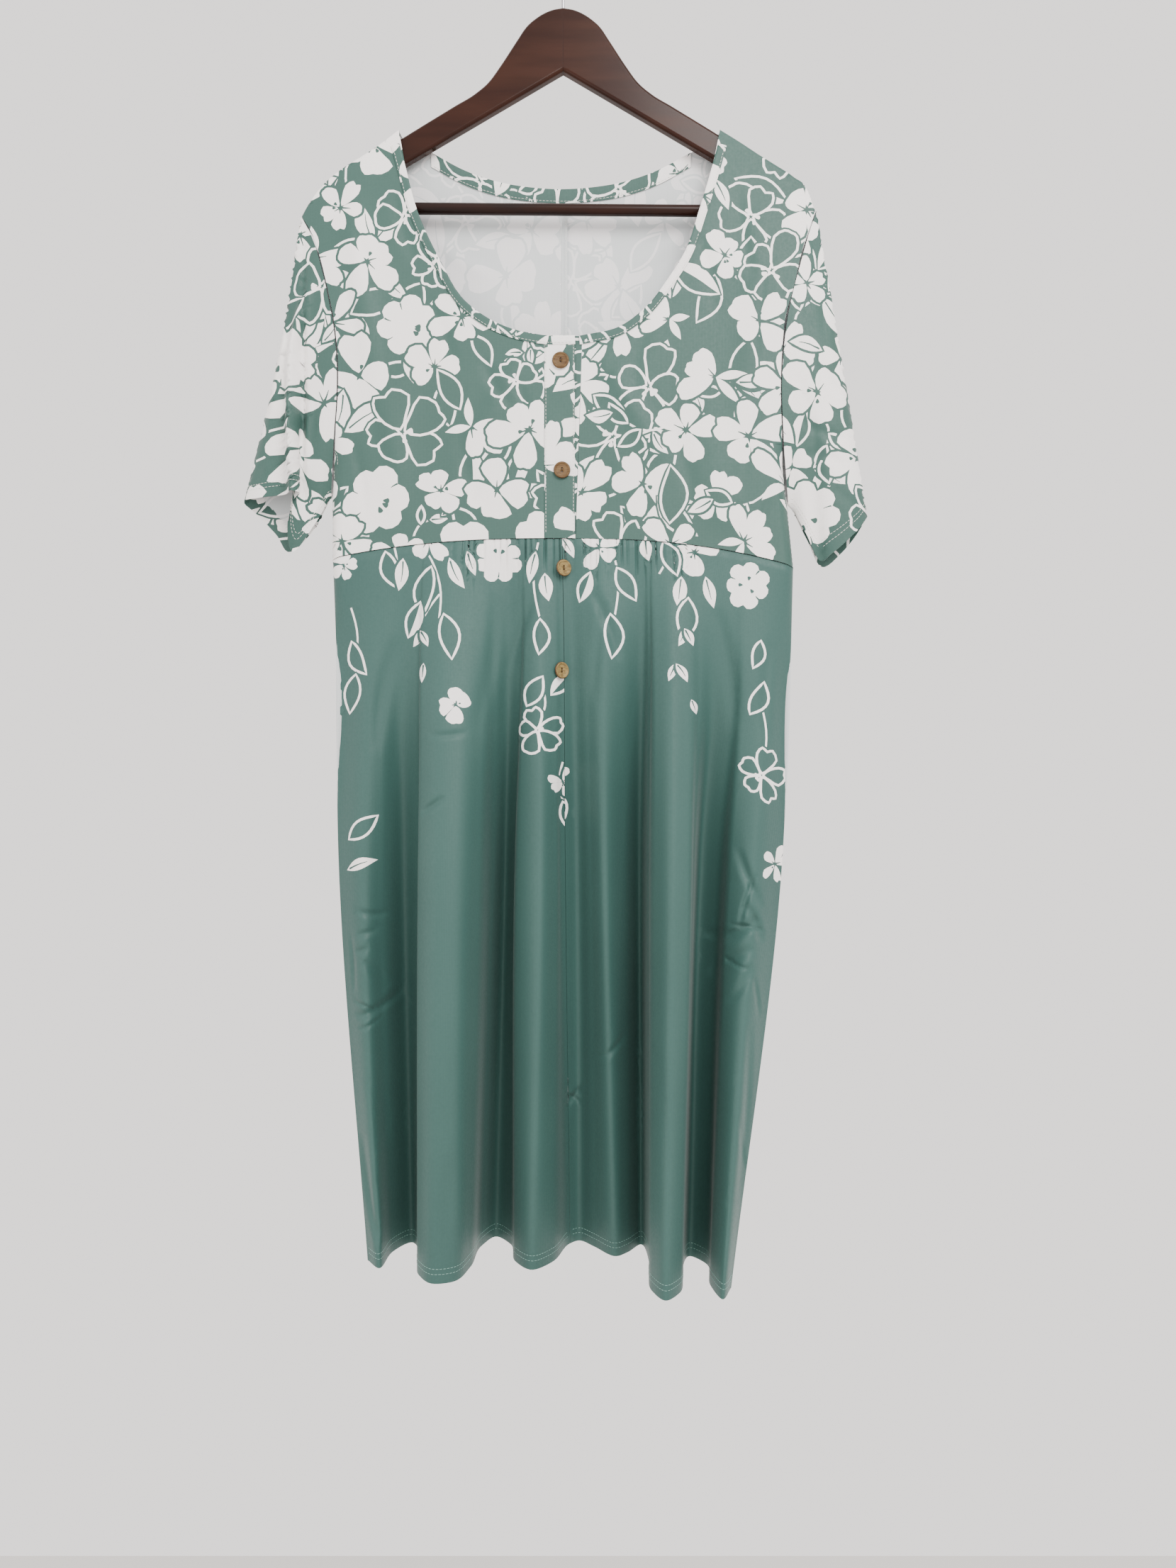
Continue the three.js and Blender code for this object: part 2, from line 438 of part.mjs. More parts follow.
// Closed wall between two faces of a surface. Rows hold a height v and a list of places u, and
// rows with different numbers of places are zipped together. Lift and thick are measured inwards.
// Layer keeps a bodice wall on its own side of the hanger's plane, -1 in front and 1 behind.
function wall(surface, rows, { side = 1, lift = 0, thick = cloth, closed = false, mitre = null, layer = 0 }) {
  const positions = [];
  const faces = [];
  const outer = [];
  const inner = [];
  for (const row of rows) {
    const outRow = [];
    const inRow = [];
    const last = row.places.length - 1;
    row.places.forEach((u, i) => {
      const point = surface(u, row.v);
      const out = outward(surface, u, row.v, side);
      const near = point.clone().addScaledVector(out, -lift);
      const far = point.clone().addScaledVector(out, -lift - thick);
      if (mitre && !closed && (i === 0 || i === last) && mitre[i === 0 ? 0 : 1]) {
        const inwardX = mitre[i === 0 ? 0 : 1];
        far.copy(near);
        far.x += inwardX * Math.min(2.4, thick / Math.max(0.2, Math.abs(out.x)));
      }
      if (layer !== 0) {
        far.y = layer * Math.max(seamGap / 2, layer * far.y);
      }
      positions.push(near.x, near.y, near.z, far.x, far.y, far.z);
      outRow.push(positions.length / 3 - 2);
      inRow.push(positions.length / 3 - 1);
    });
    outer.push(outRow);
    inner.push(inRow);
  }
  const zip = (a, b, placesA, placesB, flip) => {
    let i = 0;
    let j = 0;
    const end = closed ? 0 : 1;
    const nextA = (k) => (k + 1 < placesA.length ? placesA[k + 1] : 1 + placesA[0]);
    const nextB = (k) => (k + 1 < placesB.length ? placesB[k + 1] : 1 + placesB[0]);
    const countA = placesA.length - end;
    const countB = placesB.length - end;
    while (i < countA || j < countB) {
      const takeA = j >= countB || (i < countA && nextA(i) <= nextB(j) + 1e-9);
      const p = a[i % a.length];
      const q = b[j % b.length];
      const r = takeA ? a[(i + 1) % a.length] : b[(j + 1) % b.length];
      faces.push(flip ? [p, r, q] : [p, q, r]);
      if (takeA) {
        i += 1;
      } else {
        j += 1;
      }
    }
  };
  const quad = (a, b, c, d) => faces.push([a, b, c], [a, c, d]);
  for (let k = 0; k + 1 < rows.length; k += 1) {
    zip(outer[k], outer[k + 1], rows[k].places, rows[k + 1].places, false);
    zip(inner[k], inner[k + 1], rows[k].places, rows[k + 1].places, true);
  }
  const top = 0;
  const low = rows.length - 1;
  const around = (k) => rows[k].places.length - (closed ? 0 : 1);
  for (let i = 0; i < around(top); i += 1) {
    const n = (i + 1) % outer[top].length;
    quad(outer[top][i], outer[top][n], inner[top][n], inner[top][i]);
  }
  for (let i = 0; i < around(low); i += 1) {
    const n = (i + 1) % outer[low].length;
    quad(outer[low][n], outer[low][i], inner[low][i], inner[low][n]);
  }
  if (!closed) {
    for (let k = 0; k < low; k += 1) {
      const a = outer[k].length - 1;
      const b = outer[k + 1].length - 1;
      quad(outer[k + 1][0], outer[k][0], inner[k][0], inner[k + 1][0]);
      quad(outer[k][a], outer[k + 1][b], inner[k + 1][b], inner[k][a]);
    }
  }
  return solidFrom(positions, faces);
}

// Geometry from corners and faces, turned so that the faces point out
function solidFrom(positions, faces) {
  const corner = (i) => new THREE.Vector3().fromArray(positions, i * 3);
  let volume = 0;
  for (const [a, b, c] of faces) {
    volume += corner(a).dot(corner(b).cross(corner(c)));
  }
  const index = faces.flatMap(([a, b, c]) => (volume < 0 ? [a, c, b] : [a, b, c]));
  const geometry = new THREE.BufferGeometry();
  geometry.setAttribute('position', new THREE.Float32BufferAttribute(positions, 3));
  geometry.setIndex(index);
  geometry.computeVertexNormals();
  return geometry;
}

function evenly(count, from = 0, to = 1) {
  return Array.from({ length: count + 1 }, (_, i) => mix(from, to, i / count));
}

function sameRows(heights, places) {
  return heights.map((v) => ({ v, places }));
}

// Solid for joining and cutting, from closed geometry
function toManifold(geometry) {
  const bare = geometry.clone();
  bare.deleteAttribute('normal');
  bare.deleteAttribute('uv');
  const merged = mergeVertices(bare, 1e-4);
  const corners = [];
  for (let i = 0; i < merged.index.count; i += 3) {
    const [a, b, c] = merged.index.array.slice(i, i + 3);
    if (a !== b && b !== c && c !== a) {
      corners.push(a, b, c);
    }
  }
  const mesh = new wasm.Mesh({
    numProp: 3,
    vertProperties: new Float32Array(merged.attributes.position.array),
    triVerts: new Uint32Array(corners),
  });
  return new wasm.Manifold(mesh);
}

function fromManifold(solid) {
  const mesh = solid.getMesh();
  const geometry = new THREE.BufferGeometry();
  geometry.setAttribute('position', new THREE.BufferAttribute(mesh.vertProperties, 3));
  geometry.setIndex(new THREE.BufferAttribute(mesh.triVerts, 1));
  geometry.computeVertexNormals();
  return geometry;
}

const model = new THREE.Group();
const dress = new THREE.Group();
dress.position.x = dressShift;
model.add(dress);

function addPiece(parent, name, geometry, look) {
  const mesh = new THREE.Mesh(geometry, new THREE.MeshStandardMaterial(finish[look]));
  mesh.name = name;
  parent.add(mesh);
  return mesh;
}

// Hanger: two halves of one bent arm, the bar between their ends, and the wire hook
function hangerArm(sign) {
  const outline = new THREE.Shape();
  const inner = seamGap / 2;
  outline.moveTo(inner, armPeak);
  const topLine = lineThrough(armTop);
  evenly(22).map(topLine).forEach((point) => outline.lineTo(point.x, point.z));
  outline.lineTo(203.5, lugFoot + 5);
  outline.lineTo(199, lugFoot);
  outline.lineTo(lugInner + 4, lugFoot);
  outline.lineTo(lugInner, lugFoot + 4);
  outline.lineTo(lugInner, armLow - armSlope * lugInner);
  outline.lineTo(inner, armLow);
  const bevel = 2;
  const shape = new THREE.ExtrudeGeometry(outline, {
    depth: hangerThick - 2 * bevel, bevelEnabled: true, bevelThickness: bevel, bevelSize: 1.2,
    bevelOffset: -1.2, bevelSegments: 2,
  });
  shape.translate(0, 0, -(hangerThick - 2 * bevel) / 2);
  shape.rotateX(Math.PI / 2);
  const socket = new THREE.CylinderGeometry(wireRadius + 0.3, wireRadius + 0.3, 30, 12);
  socket.rotateX(Math.PI / 2);
  socket.translate(0, 0, armPeak - 11);
  const cut = fromManifold(toManifold(shape).subtract(toManifold(socket)));
  if (sign < 0) {
    cut.scale(-1, 1, 1);
    const index = cut.index.array;
    for (let i = 0; i < index.length; i += 3) {
      [index[i + 1], index[i + 2]] = [index[i + 2], index[i + 1]];
    }
    cut.computeVertexNormals();
  }
  return cut;
}

function hangerBar() {
  const length = 2 * (lugInner - seamGap);
  const bar = new THREE.CylinderGeometry(barRadius, barRadius, length, 16);
  bar.rotateZ(Math.PI / 2);
  bar.rotateY(Math.atan((barHeight.left - barHeight.right) / length));
  bar.translate(0, 0, (barHeight.left + barHeight.right) / 2);
  return bar;
}

// Straight wire up from the wood, a bend to the right, then round over the top and down
class HookPath extends THREE.Curve {
  getPoint(share, target = new THREE.Vector3()) {
    const foot = armPeak - 22;
    const radius = hookRadius + wireRadius;
    const centre = new THREE.Vector2(0, -hookRadius);
    const neck = new THREE.Vector2(0, -hookRadius - radius - 6);
    const climb = neck.y - foot;
    const swing = radius * 0.9;
    const wrap = radius * Math.PI * 1.12;
    const run = share * (climb + swing + wrap);
    if (run < climb) {
      return target.set(0, 0, foot + run);
    }
    const startAngle = -0.18 * Math.PI;
    const start = new THREE.Vector2(
      centre.x + radius * Math.cos(startAngle), centre.y + radius * Math.sin(startAngle));
    if (run < climb + swing) {
      const t = (run - climb) / swing;
      const lean = new THREE.Vector2(-Math.sin(startAngle), Math.cos(startAngle)).multiplyScalar(-9);
      const a = (1 - t) ** 3;
      const b = 3 * t * (1 - t) ** 2;
      const c = 3 * t * t * (1 - t);
      const d = t ** 3;
      const x = a * neck.x + b * neck.x + c * (start.x + lean.x) + d * start.x;
      const z = a * neck.y + b * (neck.y + 5) + c * (start.y + lean.y) + d * start.y;
      return target.set(x, 0, z);
    }
    const angle = startAngle + (run - climb - swing) / radius;
    return target.set(centre.x + radius * Math.cos(angle), 0, centre.y + radius * Math.sin(angle));
  }
}

function hangerHook() {
  const section = new THREE.Shape();
  section.absarc(0, 0, wireRadius, 0, 2 * Math.PI, false);
  return new THREE.ExtrudeGeometry(section, {
    extrudePath: new HookPath(), steps: 34, curveSegments: 4, bevelEnabled: false,
  });
}

addPiece(model, 'hanger_arm_left', hangerArm(-1), 'wood');
addPiece(model, 'hanger_arm_right', hangerArm(1), 'wood');
addPiece(model, 'hanger_bar', hangerBar(), 'wood');
addPiece(model, 'hanger_hook', hangerHook(), 'steel');

// Bodice: two fronts, the button band and the band under it, two backs, and the neck's edges
const frontHeights = [0, 0.012, 0.03, 0.08, 0.16, 0.25, 0.34, 0.43, 0.52, 0.62, 0.72, 0.82, 0.92, 1];
const backHeights = [0, 0.012, 0.03, 0.08, 0.15, 0.22, 0.3, 0.42, 0.54, 0.66, 0.78, 0.9, 1];
const bodicePlaces = [0, 0.1, 0.2, 0.3, 0.4, 0.5, 0.6, 0.7, 0.79, 0.87, 0.94, 0.975, 1];
const neckShare = 0.52;         // the front neck edge ends and the centre begins at this height
const backNeckShare = 0.3;
const frontLeft = bodicePanel(true, neckLineLeft, neckShare, placketLeft, frontY);
const frontRight = bodicePanel(false, neckLineRight, neckShare, placketRight + underWidthLow, frontRightY);
const mirrored = (points) => points.map((point) => ({ x: -point.x, z: point.z }));
const backEdge = seamGap / 2;
const backNeckRight = [...neckLineBack.slice(0, -1), { x: backEdge, z: neckBack }];
backNeckRight[0] = { x: neckHalf - 2, z: shoulderTop };
const backNeckLeft = mirrored(backNeckRight);
backNeckLeft[0] = { x: -neckHalf, z: shoulderTop };
const backLeft = bodicePanel(true, backNeckLeft, backNeckShare, -backEdge, backY);
const backRight = bodicePanel(false, backNeckRight, backNeckShare, backEdge, backY);
const frontRows = sameRows(frontHeights, bodicePlaces);
const backRows = sameRows(backHeights, bodicePlaces);
addPiece(dress, 'bodice_front_left', wall(frontLeft, frontRows, { side: 1, layer: -1 }), 'print');
addPiece(dress, 'bodice_front_right', wall(frontRight, frontRows, { side: -1, layer: -1 }), 'print');
addPiece(dress, 'bodice_back_left', wall(backLeft, backRows, { side: -1, layer: 1 }), 'print');
addPiece(dress, 'bodice_back_right', wall(backRight, backRows, { side: 1, layer: 1 }), 'print');

// A straight band down the front between two edges that may slant
function frontBand(leftTop, leftLow, rightTop, rightLow, back) {
  return (u, v) => {
    const x = mix(mix(leftTop, leftLow, v), mix(rightTop, rightLow, v), u);
    const z = mix(neckFront, seamZ(x) + seamGap / 2, v);
    return new THREE.Vector3(x, frontY(x, z) + back, z);
  };
}

const bandRows = sameRows(evenly(8), evenly(4));
const band = frontBand(placketLeft + seamGap, placketLeft + seamGap, placketRight, placketRight, 0);
const underRight = placketRight - seamGap;
const underBand = frontBand(-8, -8, underRight + underWidthTop, underRight + underWidthLow, placketStep);
addPiece(dress, 'placket', wall(band, bandRows, { side: -1 }), 'print');
addPiece(dress, 'placket_under', wall(underBand, bandRows, { side: -1 }), 'print');

// Binding on the outside of the front neck, made from the panel's own points, moved out
function neckBinding(points, yOf) {
  const edge = lineThrough(points);
  const middle = new THREE.Vector2(0, -150);
  return (u, v) => {
    const place = edge(clamp01(u));
    const from = new THREE.Vector2(place.x, place.z);
    const away = from.clone().sub(middle).normalize();
    const x = from.x + away.x * bindingWidth * v;
    const z = from.y + away.y * bindingWidth * v;
    return new THREE.Vector3(x, yOf(x, z), z);
  };
}

const bindingOut = -(cloth + layGap);
const bindingLeftLine = [
  { x: -neckHalf + 1.5, z: shoulderTop - 16 }, ...neckLineLeft.slice(1), { x: placketRight, z: neckFront },
];
const bindingRightLine = [
  { x: neckHalf - 4.5, z: shoulderTop - 16 }, ...neckLineRight.slice(1, -1),
  { x: placketRight + bindingWidth / 2, z: neckFront },
];
const bindingRows = sameRows([0, 1], evenly(28));
addPiece(dress, 'neck_binding_left',
  wall(neckBinding(bindingLeftLine, frontY), bindingRows, { side: -1, lift: bindingOut }), 'print');
addPiece(dress, 'neck_binding_right',
  wall(neckBinding(bindingRightLine, frontRightY), bindingRows, { side: 1, lift: bindingOut }), 'print');

// Facing on the inside of the back neck
function neckFacing(u, v) {
  const edge = lineThrough([...mirrored(neckLineBack.slice(1)), ...neckLineBack.slice(1, -1).reverse()]);
  const place = edge(clamp01(u));
  const z = place.z - facingHeight * v;
  return new THREE.Vector3(place.x, backY(place.x, z), z);
}

addPiece(dress, 'neck_facing_back',
  wall(neckFacing, sameRows([0, 1], evenly(16)), { side: 1, lift: cloth + layGap }), 'print');

// Skirt: two fronts that meet at the centre seam, and one back
const skirtFall = [0.1, 0.18, 0.28, 0.42, 0.56, 0.7, 0.85, 1];
const gatherFall = [0, 0.014, 0.048];

// Places across a part of the skirt, some for each fold row, with finer steps inside the gathers
function skirtPlaces(panel, rows, first, last, perRow, finer) {
  const places = [];
  for (let i = first; i < last; i += 1) {
    const inside = rows[i].seamX > gatherLeft - 12 && rows[i + 1].seamX < gatherRight + 12;
    const pitches = Math.abs(rows[i + 1].seamX - rows[i].seamX) / gatherPitch;
    const count = finer && inside ? Math.max(perRow, Math.ceil(pitches * 3.6)) : perRow;
    evenly(count, panel.knots[i], panel.knots[i + 1]).slice(0, -1).forEach((u) => places.push(u));
  }
  places.push(panel.knots[last]);
  return places;
}

function skirtWall(rows, layer, first, last, perRow, side, mitre) {
  const panel = skirtPanel(rows, layer);
  const from = panel.knots[first];
  const span = panel.knots[last] - from;
  const surface = (u, v) => panel.point(from + u * span, v);
  const share = (places) => places.map((u) => (u - from) / span);
  const fine = share(skirtPlaces(panel, rows, first, last, perRow, true));
  const plain = share(skirtPlaces(panel, rows, first, last, perRow, false));
  const gathered = gatherFall.map((v) => ({ v, places: fine }));
  const hanging = skirtFall.map((v) => ({ v, places: plain }));
  const half = seamGap / 2 / sideLow.right.x;
  if (!mitre[0]) {
    gathered.concat(hanging).forEach((row) => { row.places = [half, ...row.places.slice(1)]; });
  }
  if (!mitre[1]) {
    gathered.concat(hanging).forEach((row) => { row.places = [...row.places.slice(0, -1), 1 - half]; });
  }
  return wall(surface, [...gathered, ...hanging], { side, mitre });
}

const lastRow = skirtFront.length - 1;
addPiece(dress, 'skirt_front_left', skirtWall(skirtFront, -1, 0, centreRow, 2, -1, [1, 0]), 'plain');
addPiece(dress, 'skirt_front_right', skirtWall(skirtFront, -1, centreRow, lastRow, 2, -1, [0, -1]), 'plain');
addPiece(dress, 'skirt_back', skirtWall(skirtBack, 1, 0, skirtBack.length - 1, 3, 1, [1, -1]), 'plain');

// Sleeves
const sleeveRows = sameRows([0, 0.1, 0.25, 0.4, 0.55, 0.7, 0.85, 1], evenly(30).slice(0, -1));
addPiece(dress, 'sleeve_left',
  wall(sleeveTube(sleeveLeft, true), sleeveRows, { side: -1, closed: true }), 'print');
addPiece(dress, 'sleeve_right',
  wall(sleeveTube(sleeveRight, false), sleeveRows, { side: 1, closed: true }), 'print');

// Buttons: turned discs with a raised rim and two holes, standing just off the cloth
function buttonShape() {
  const r = buttonRadius;
  const profile = [
    [0, 0], [r - 1.6, 0], [r - 0.2, 0.9], [r, 1.7], [r - 0.7, 2.7], [r - 1.5, 2.7], [r - 2.3, 1.9], [0, 1.8],
  ].map(([radius, height]) => new THREE.Vector2(radius, height));
  const disc = toManifold(new THREE.LatheGeometry(profile, 16));
  const hole = (shift) => {
    const drill = new THREE.CylinderGeometry(0.75, 0.75, 8, 6);
    drill.translate(0, 0, shift);
    return toManifold(drill);
  };
  const turned = fromManifold(disc.subtract(hole(1.45)).subtract(hole(-1.45)));
  turned.rotateX(Math.PI);
  return turned;
}

// y of the cloth's outer face on the front, near the centre line
function clothY(x, z) {
  const top = seamZ(x) - seamGap;
  if (z > top) {
    return frontY(x, z);
  }
  const front = skirtPanel(skirtFront, -1);
  const t = (top - z) / (top - hemZ(x));
  const across = evenly(60, front.knots[centreRow - 3], front.knots[centreRow + 3]);
  const line = across.map((u) => front.point(u, t));
  const next = line.findIndex((point) => point.x > x);
  return mix(line[next - 1].y, line[next].y, (x - line[next - 1].x) / (line[next].x - line[next - 1].x));
}

// y of a button's middle, so that its whole back stays just clear of the cloth
function buttonY(x, z, turn) {
  let y = Infinity;
  for (const reach of [0, buttonRadius - 1, buttonRadius - 4]) {
    for (const angle of evenly(16, 0, 2 * Math.PI)) {
      const across = reach * Math.cos(angle);
      const cloth = clothY(x + across * Math.cos(turn), z + reach * Math.sin(angle));
      y = Math.min(y, cloth - across * Math.sin(turn));
    }
  }
  return y - buttonClear / Math.cos(turn);
}

for (const button of buttons) {
  const piece = addPiece(dress, button.name, buttonShape(), 'button');
  const turn = THREE.MathUtils.degToRad(button.turn);
  piece.rotation.z = turn;
  piece.position.set(button.x, buttonY(button.x, button.z, turn), button.z);
}

export default model;
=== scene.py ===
# Short-sleeved button-up dress on a wooden coat hanger.
# Tables and surfaces are in millimetres in the dress's own frame; meshes are made in metres.
import math
import random

import bmesh
import bpy
import numpy as np
from mathutils import Matrix, Vector
from mathutils.geometry import delaunay_2d_cdt


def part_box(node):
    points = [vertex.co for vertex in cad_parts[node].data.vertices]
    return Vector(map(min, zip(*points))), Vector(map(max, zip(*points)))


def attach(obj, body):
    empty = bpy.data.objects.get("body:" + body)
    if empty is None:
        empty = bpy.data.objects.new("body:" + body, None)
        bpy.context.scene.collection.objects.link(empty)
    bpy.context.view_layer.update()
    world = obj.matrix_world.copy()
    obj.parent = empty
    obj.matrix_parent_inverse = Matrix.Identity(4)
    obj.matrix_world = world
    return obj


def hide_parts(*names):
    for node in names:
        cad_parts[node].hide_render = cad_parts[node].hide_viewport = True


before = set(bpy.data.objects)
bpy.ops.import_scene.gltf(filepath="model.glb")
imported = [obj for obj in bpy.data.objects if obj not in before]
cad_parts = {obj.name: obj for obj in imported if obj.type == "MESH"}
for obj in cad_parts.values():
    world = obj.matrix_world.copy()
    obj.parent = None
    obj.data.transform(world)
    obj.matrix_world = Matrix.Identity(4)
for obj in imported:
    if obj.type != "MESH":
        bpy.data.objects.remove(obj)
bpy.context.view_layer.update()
print("frame loaded")
mm = 0.001

dress = {
    "shift": -2.3,  # the dress hangs this far to the left of the hook
    "thickness": 0.75,
    "seamGap": 0.3,
    "shoulderTop": -173,
    "neckFront": -365,
    "waistSeam": -548,
    "hemHeight": -1204,
    "hemTilt": 0.037,
    "bodiceDepth": 16,
    "ridgeIn": 4,
    "ridgeFlat": 0.18,
    "ridgeOut": 10,
    "sideTurn": 12,
    "placketLeft": -14.6,
    "placketRight": 13,
    "placketStep": 1.5,
    "stepFade": (24, 74),  # the right front comes level with the left between these
    "underTop": 7,
    "underLow": 0.8,
    "neckSlope": 0.57,  # rise of the shoulder line towards the neck
    "fallShare": 0.87,  # of a drop in height, as measured across the sloping shoulder
    "chestDrop": 110,  # below the shoulder the bodice has its full depth
    "sideOpen": -440,  # above this height the sides stay open for the sleeves
    "sideShut": -506,
    "backFolds": 0.6,  # of the front's folds, mirrored
    "calmSeam": (4, 40), "calmSide": (2, 26), "calmShoulder": (10, 60), "calmBand": (16, 44),
}
halfGap = dress["seamGap"] / 2

# edges of the bodice as x, z
neckLineLeft = np.array([(-147.5, -173), (-140, -212), (-129.5, -251), (-107, -300), (-89, -330.5),
                         (-66, -349), (-44, -359), (-14.6, -365)])
neckLineRight = np.array([(145.5, -173), (138.5, -206), (126, -249), (112, -290), (98, -312.5),
                          (77.5, -339), (55, -356), (20, -365)])
neckLineBack = np.array([(147.5, -173), (120, -186), (89, -201.5), (58, -211), (27, -215.6), (0, -217)])
shoulderLeft = np.array([(-147.5, -173), (-169.5, -189.5), (-188.5, -201.5), (-204, -212),
                         (-221, -228.5), (-229.5, -241), (-236, -253)])
shoulderRight = np.array([(145.5, -173), (162.5, -183.5), (180, -195), (196, -205), (212, -215.5),
                          (225, -228), (232, -248)])
armholeLeft = np.array([(-236, -253), (-225, -271.5), (-219.5, -287), (-209, -328), (-203.5, -357),
                        (-200.5, -400), (-202.5, -443), (-206.5, -482), (-208.7, -508)])
armholeRight = np.array([(232, -248), (220, -283), (210, -324), (203.5, -347), (200.4, -377),
                         (199, -417), (200.4, -453), (203.5, -490), (207, -515)])
sideLowLeft = (-208.7, -566.5)
sideLowRight = (213, -573.7)

# folds of the skirt: x at the seam, then x and y at hip, middle and hem
skirtLevels = [0, 0.12, 0.42, 1]
skirtFront = np.array([
    (-208.7, -206, 0, -204, 0, -173, -21), (-180, -179, -13, -180, -19, -159, -37),
    (-160, -161, -15, -163, -9, -154, -2), (-139, -143, -13, -146, 14, -139, 21),
    (-127, -130, -17, -130, 0, -129, 0), (-118, -120, -24, -123, -38, -123, -48),
    (-104, -106, -28, -109, -50, -110, -64), (-86, -88, -27, -90, -49, -92, -59),
    (-70, -70, -22, -73, -25, -80, -28), (-57, -57, -16, -62, 7, -74, 20),
    (-45, -46, -11, -52, 24, -62, 42), (-37, -37, -14, -43, 12, -48, 26),
    (-30, -30, -20, -38, -18, -41, -12), (-18, -19, -24, -18, -32, -25, -29),
    (-7, -6, -20, -5, -16, -7, -10), (1.5, 3, -15, 4, 0, 8, 32), (10, 11, -12, 14, 10, 17, 40),
    (21, 22, -16, 26, 0, 30, 28), (38, 38, -22, 41, -15, 49, 7), (54, 55, -18, 58, 5, 62, 17),
    (70, 71, -12, 72, 24, 75, 36), (79, 80, -17, 80, -2, 81, -8), (86, 87, -24, 85, -34, 80, -62),
    (98, 99, -28, 98, -50, 91, -80), (110, 112, -26, 112, -42, 104, -64),
    (122, 126, -20, 121, -14, 110, -16), (137, 142, -15, 132, 18, 121, 13),
    (150, 155, -16, 145, 10, 133, -2), (166, 169, -18, 156, -14, 132, -46),
    (188, 189, -14, 174, -25, 139, -73), (213, 211, 0, 203, 0, 150, -50)], float)
centreRow = 15
skirtBack = np.array([
    (-208.7, -206, 0, -204, 0, -173, -21), (-178, -180, 15, -183, 33, -166, 28),
    (-150, -152, 20, -152, 47, -146, 70), (-120, -121, 25, -122, 55, -122, 84),
    (-90, -91, 20, -92, 40, -93, 63), (-56, -57, 26, -58, 58, -62, 90),
    (-25, -24, 20, -22, 41, -25, 64), (8, 9, 24, 11, 52, 8, 80), (38, 39, 20, 38, 42, 36, 62),
    (74, 75, 27, 76, 60, 68, 92), (108, 110, 19, 108, 40, 97, 62), (142, 144, 22, 142, 50, 126, 74),
    (182, 182, 15, 178, 32, 147, 30), (213, 211, 0, 203, 0, 150, -50)], float)

# sleeves: share of the armhole, layer, middle x y z, cuff x y z, and the cuff's x and z laid flat
sleeveLeft = np.array([
    (0.00, -1, -259.5, 0, -383, -291, 2, -510.5, -291, -510.5),
    (0.06, -1, -256, -9, -384, -274, -10, -510, -276, -513),
    (0.12, -1, -250, -11, -385, -249.5, -14, -508, -266, -518),
    (0.18, -1, -244, -19, -387, -240, -29, -508, -259, -524),
    (0.25, -1, -237.5, -13, -390, -234, -20, -508, -254, -532),
    (0.33, -1, -231, -11, -398, -240, -12, -511, -250, -540),
    (0.45, -1, -224, -14, -425, -247, -11, -532, -247, -550),
    (0.62, -1, -218, -13, -462, -244.5, -2, -557, -240, -562),
    (0.82, -1, -212.5, -8, -488, -224, -3, -531, -224, -536),
    (1.00, 0, -211.5, 0, -509, -213, 1, -511, -213, -511),
    (0.82, 1, -213, 9, -487, -227, 8, -533, -227, -533),
    (0.58, 1, -223, 13, -452, -252, 15, -554, -252, -554),
    (0.34, 1, -238, 14, -408, -266, 14, -537, -266, -537),
    (0.14, 1, -251, 11, -389, -279, 11, -523, -279, -523)])
sleeveRight = np.array([
    (0.00, -1, 258.7, 0, -386, 281.5, 1, -524, 281.5, -524),
    (0.08, -1, 253, -10, -388, 272, -9, -537, 272, -537),
    (0.20, -1, 243, -14, -392, 258, -12, -551, 258, -551),
    (0.34, -1, 233, -16, -405, 246, -10, -561, 246, -561),
    (0.52, -1, 223, -14, -435, 238, -3, -566, 238, -566),
    (0.77, -1, 213.5, -10, -480, 224, -4, -541, 224, -541),
    (1.00, 0, 210.5, 0, -517, 214, 1, -521, 214, -521),
    (0.77, 1, 214.5, 10, -480, 227, 8, -544, 227, -544),
    (0.52, 1, 225, 14, -435, 243, 11, -569, 243, -569),
    (0.30, 1, 238, 15, -408, 259, 13, -557, 259, -557),
    (0.12, 1, 251, 11, -391, 273, 9, -540, 273, -540)])

# soft ridges of the bodice: x, z, tilt, length, width, height
bodiceFolds = [(-178, -330, -0.14, 120, 13, 3.2), (-150, -470, 0.05, 90, 16, 2.2),
               (-60, -430, 0.55, 60, 12, 2.0), (62, -425, -0.6, 58, 12, 2.2),
               (176, -350, 0.1, 120, 14, 2.6), (140, -490, -0.12, 75, 16, 2.0)]


def ease(start, end, value):
    t = np.clip((value - start) / (end - start), 0, 1)
    return t * t * (3 - 2 * t)


def mix(a, b, t):
    return a + (b - a) * t


def unit(rows, least=1e-9):  # rows of length one
    return rows / np.maximum(least, np.linalg.norm(rows, axis=1))[:, None]


def curveAt(knots, values, place):  # smooth curve through values at uneven knots
    place = np.atleast_1d(np.asarray(place, float))
    knots = np.asarray(knots, float)
    rows = np.stack([np.broadcast_to(v, place.shape) for v in values]).astype(float)
    step = np.diff(knots)
    rise = np.diff(rows, axis=0) / step[:, None]
    slope = np.empty_like(rows)
    slope[0], slope[-1] = rise[0], rise[-1]
    before, after = step[:-1, None], step[1:, None]
    slope[1:-1] = (rise[:-1] * after + rise[1:] * before) / (before + after)
    k = np.searchsorted(knots[1:-1], place)
    pick = lambda table, i: np.take_along_axis(table, i[None], 0)[0]
    wide = step[k]
    t = (place - knots[k]) / wide
    t2, t3 = t * t, t * t * t
    return ((2 * t3 - 3 * t2 + 1) * pick(rows, k) + (t3 - 2 * t2 + t) * wide * pick(slope, k)
            + (3 * t2 - 2 * t3) * pick(rows, k + 1) + (t3 - t2) * wide * pick(slope, k + 1))


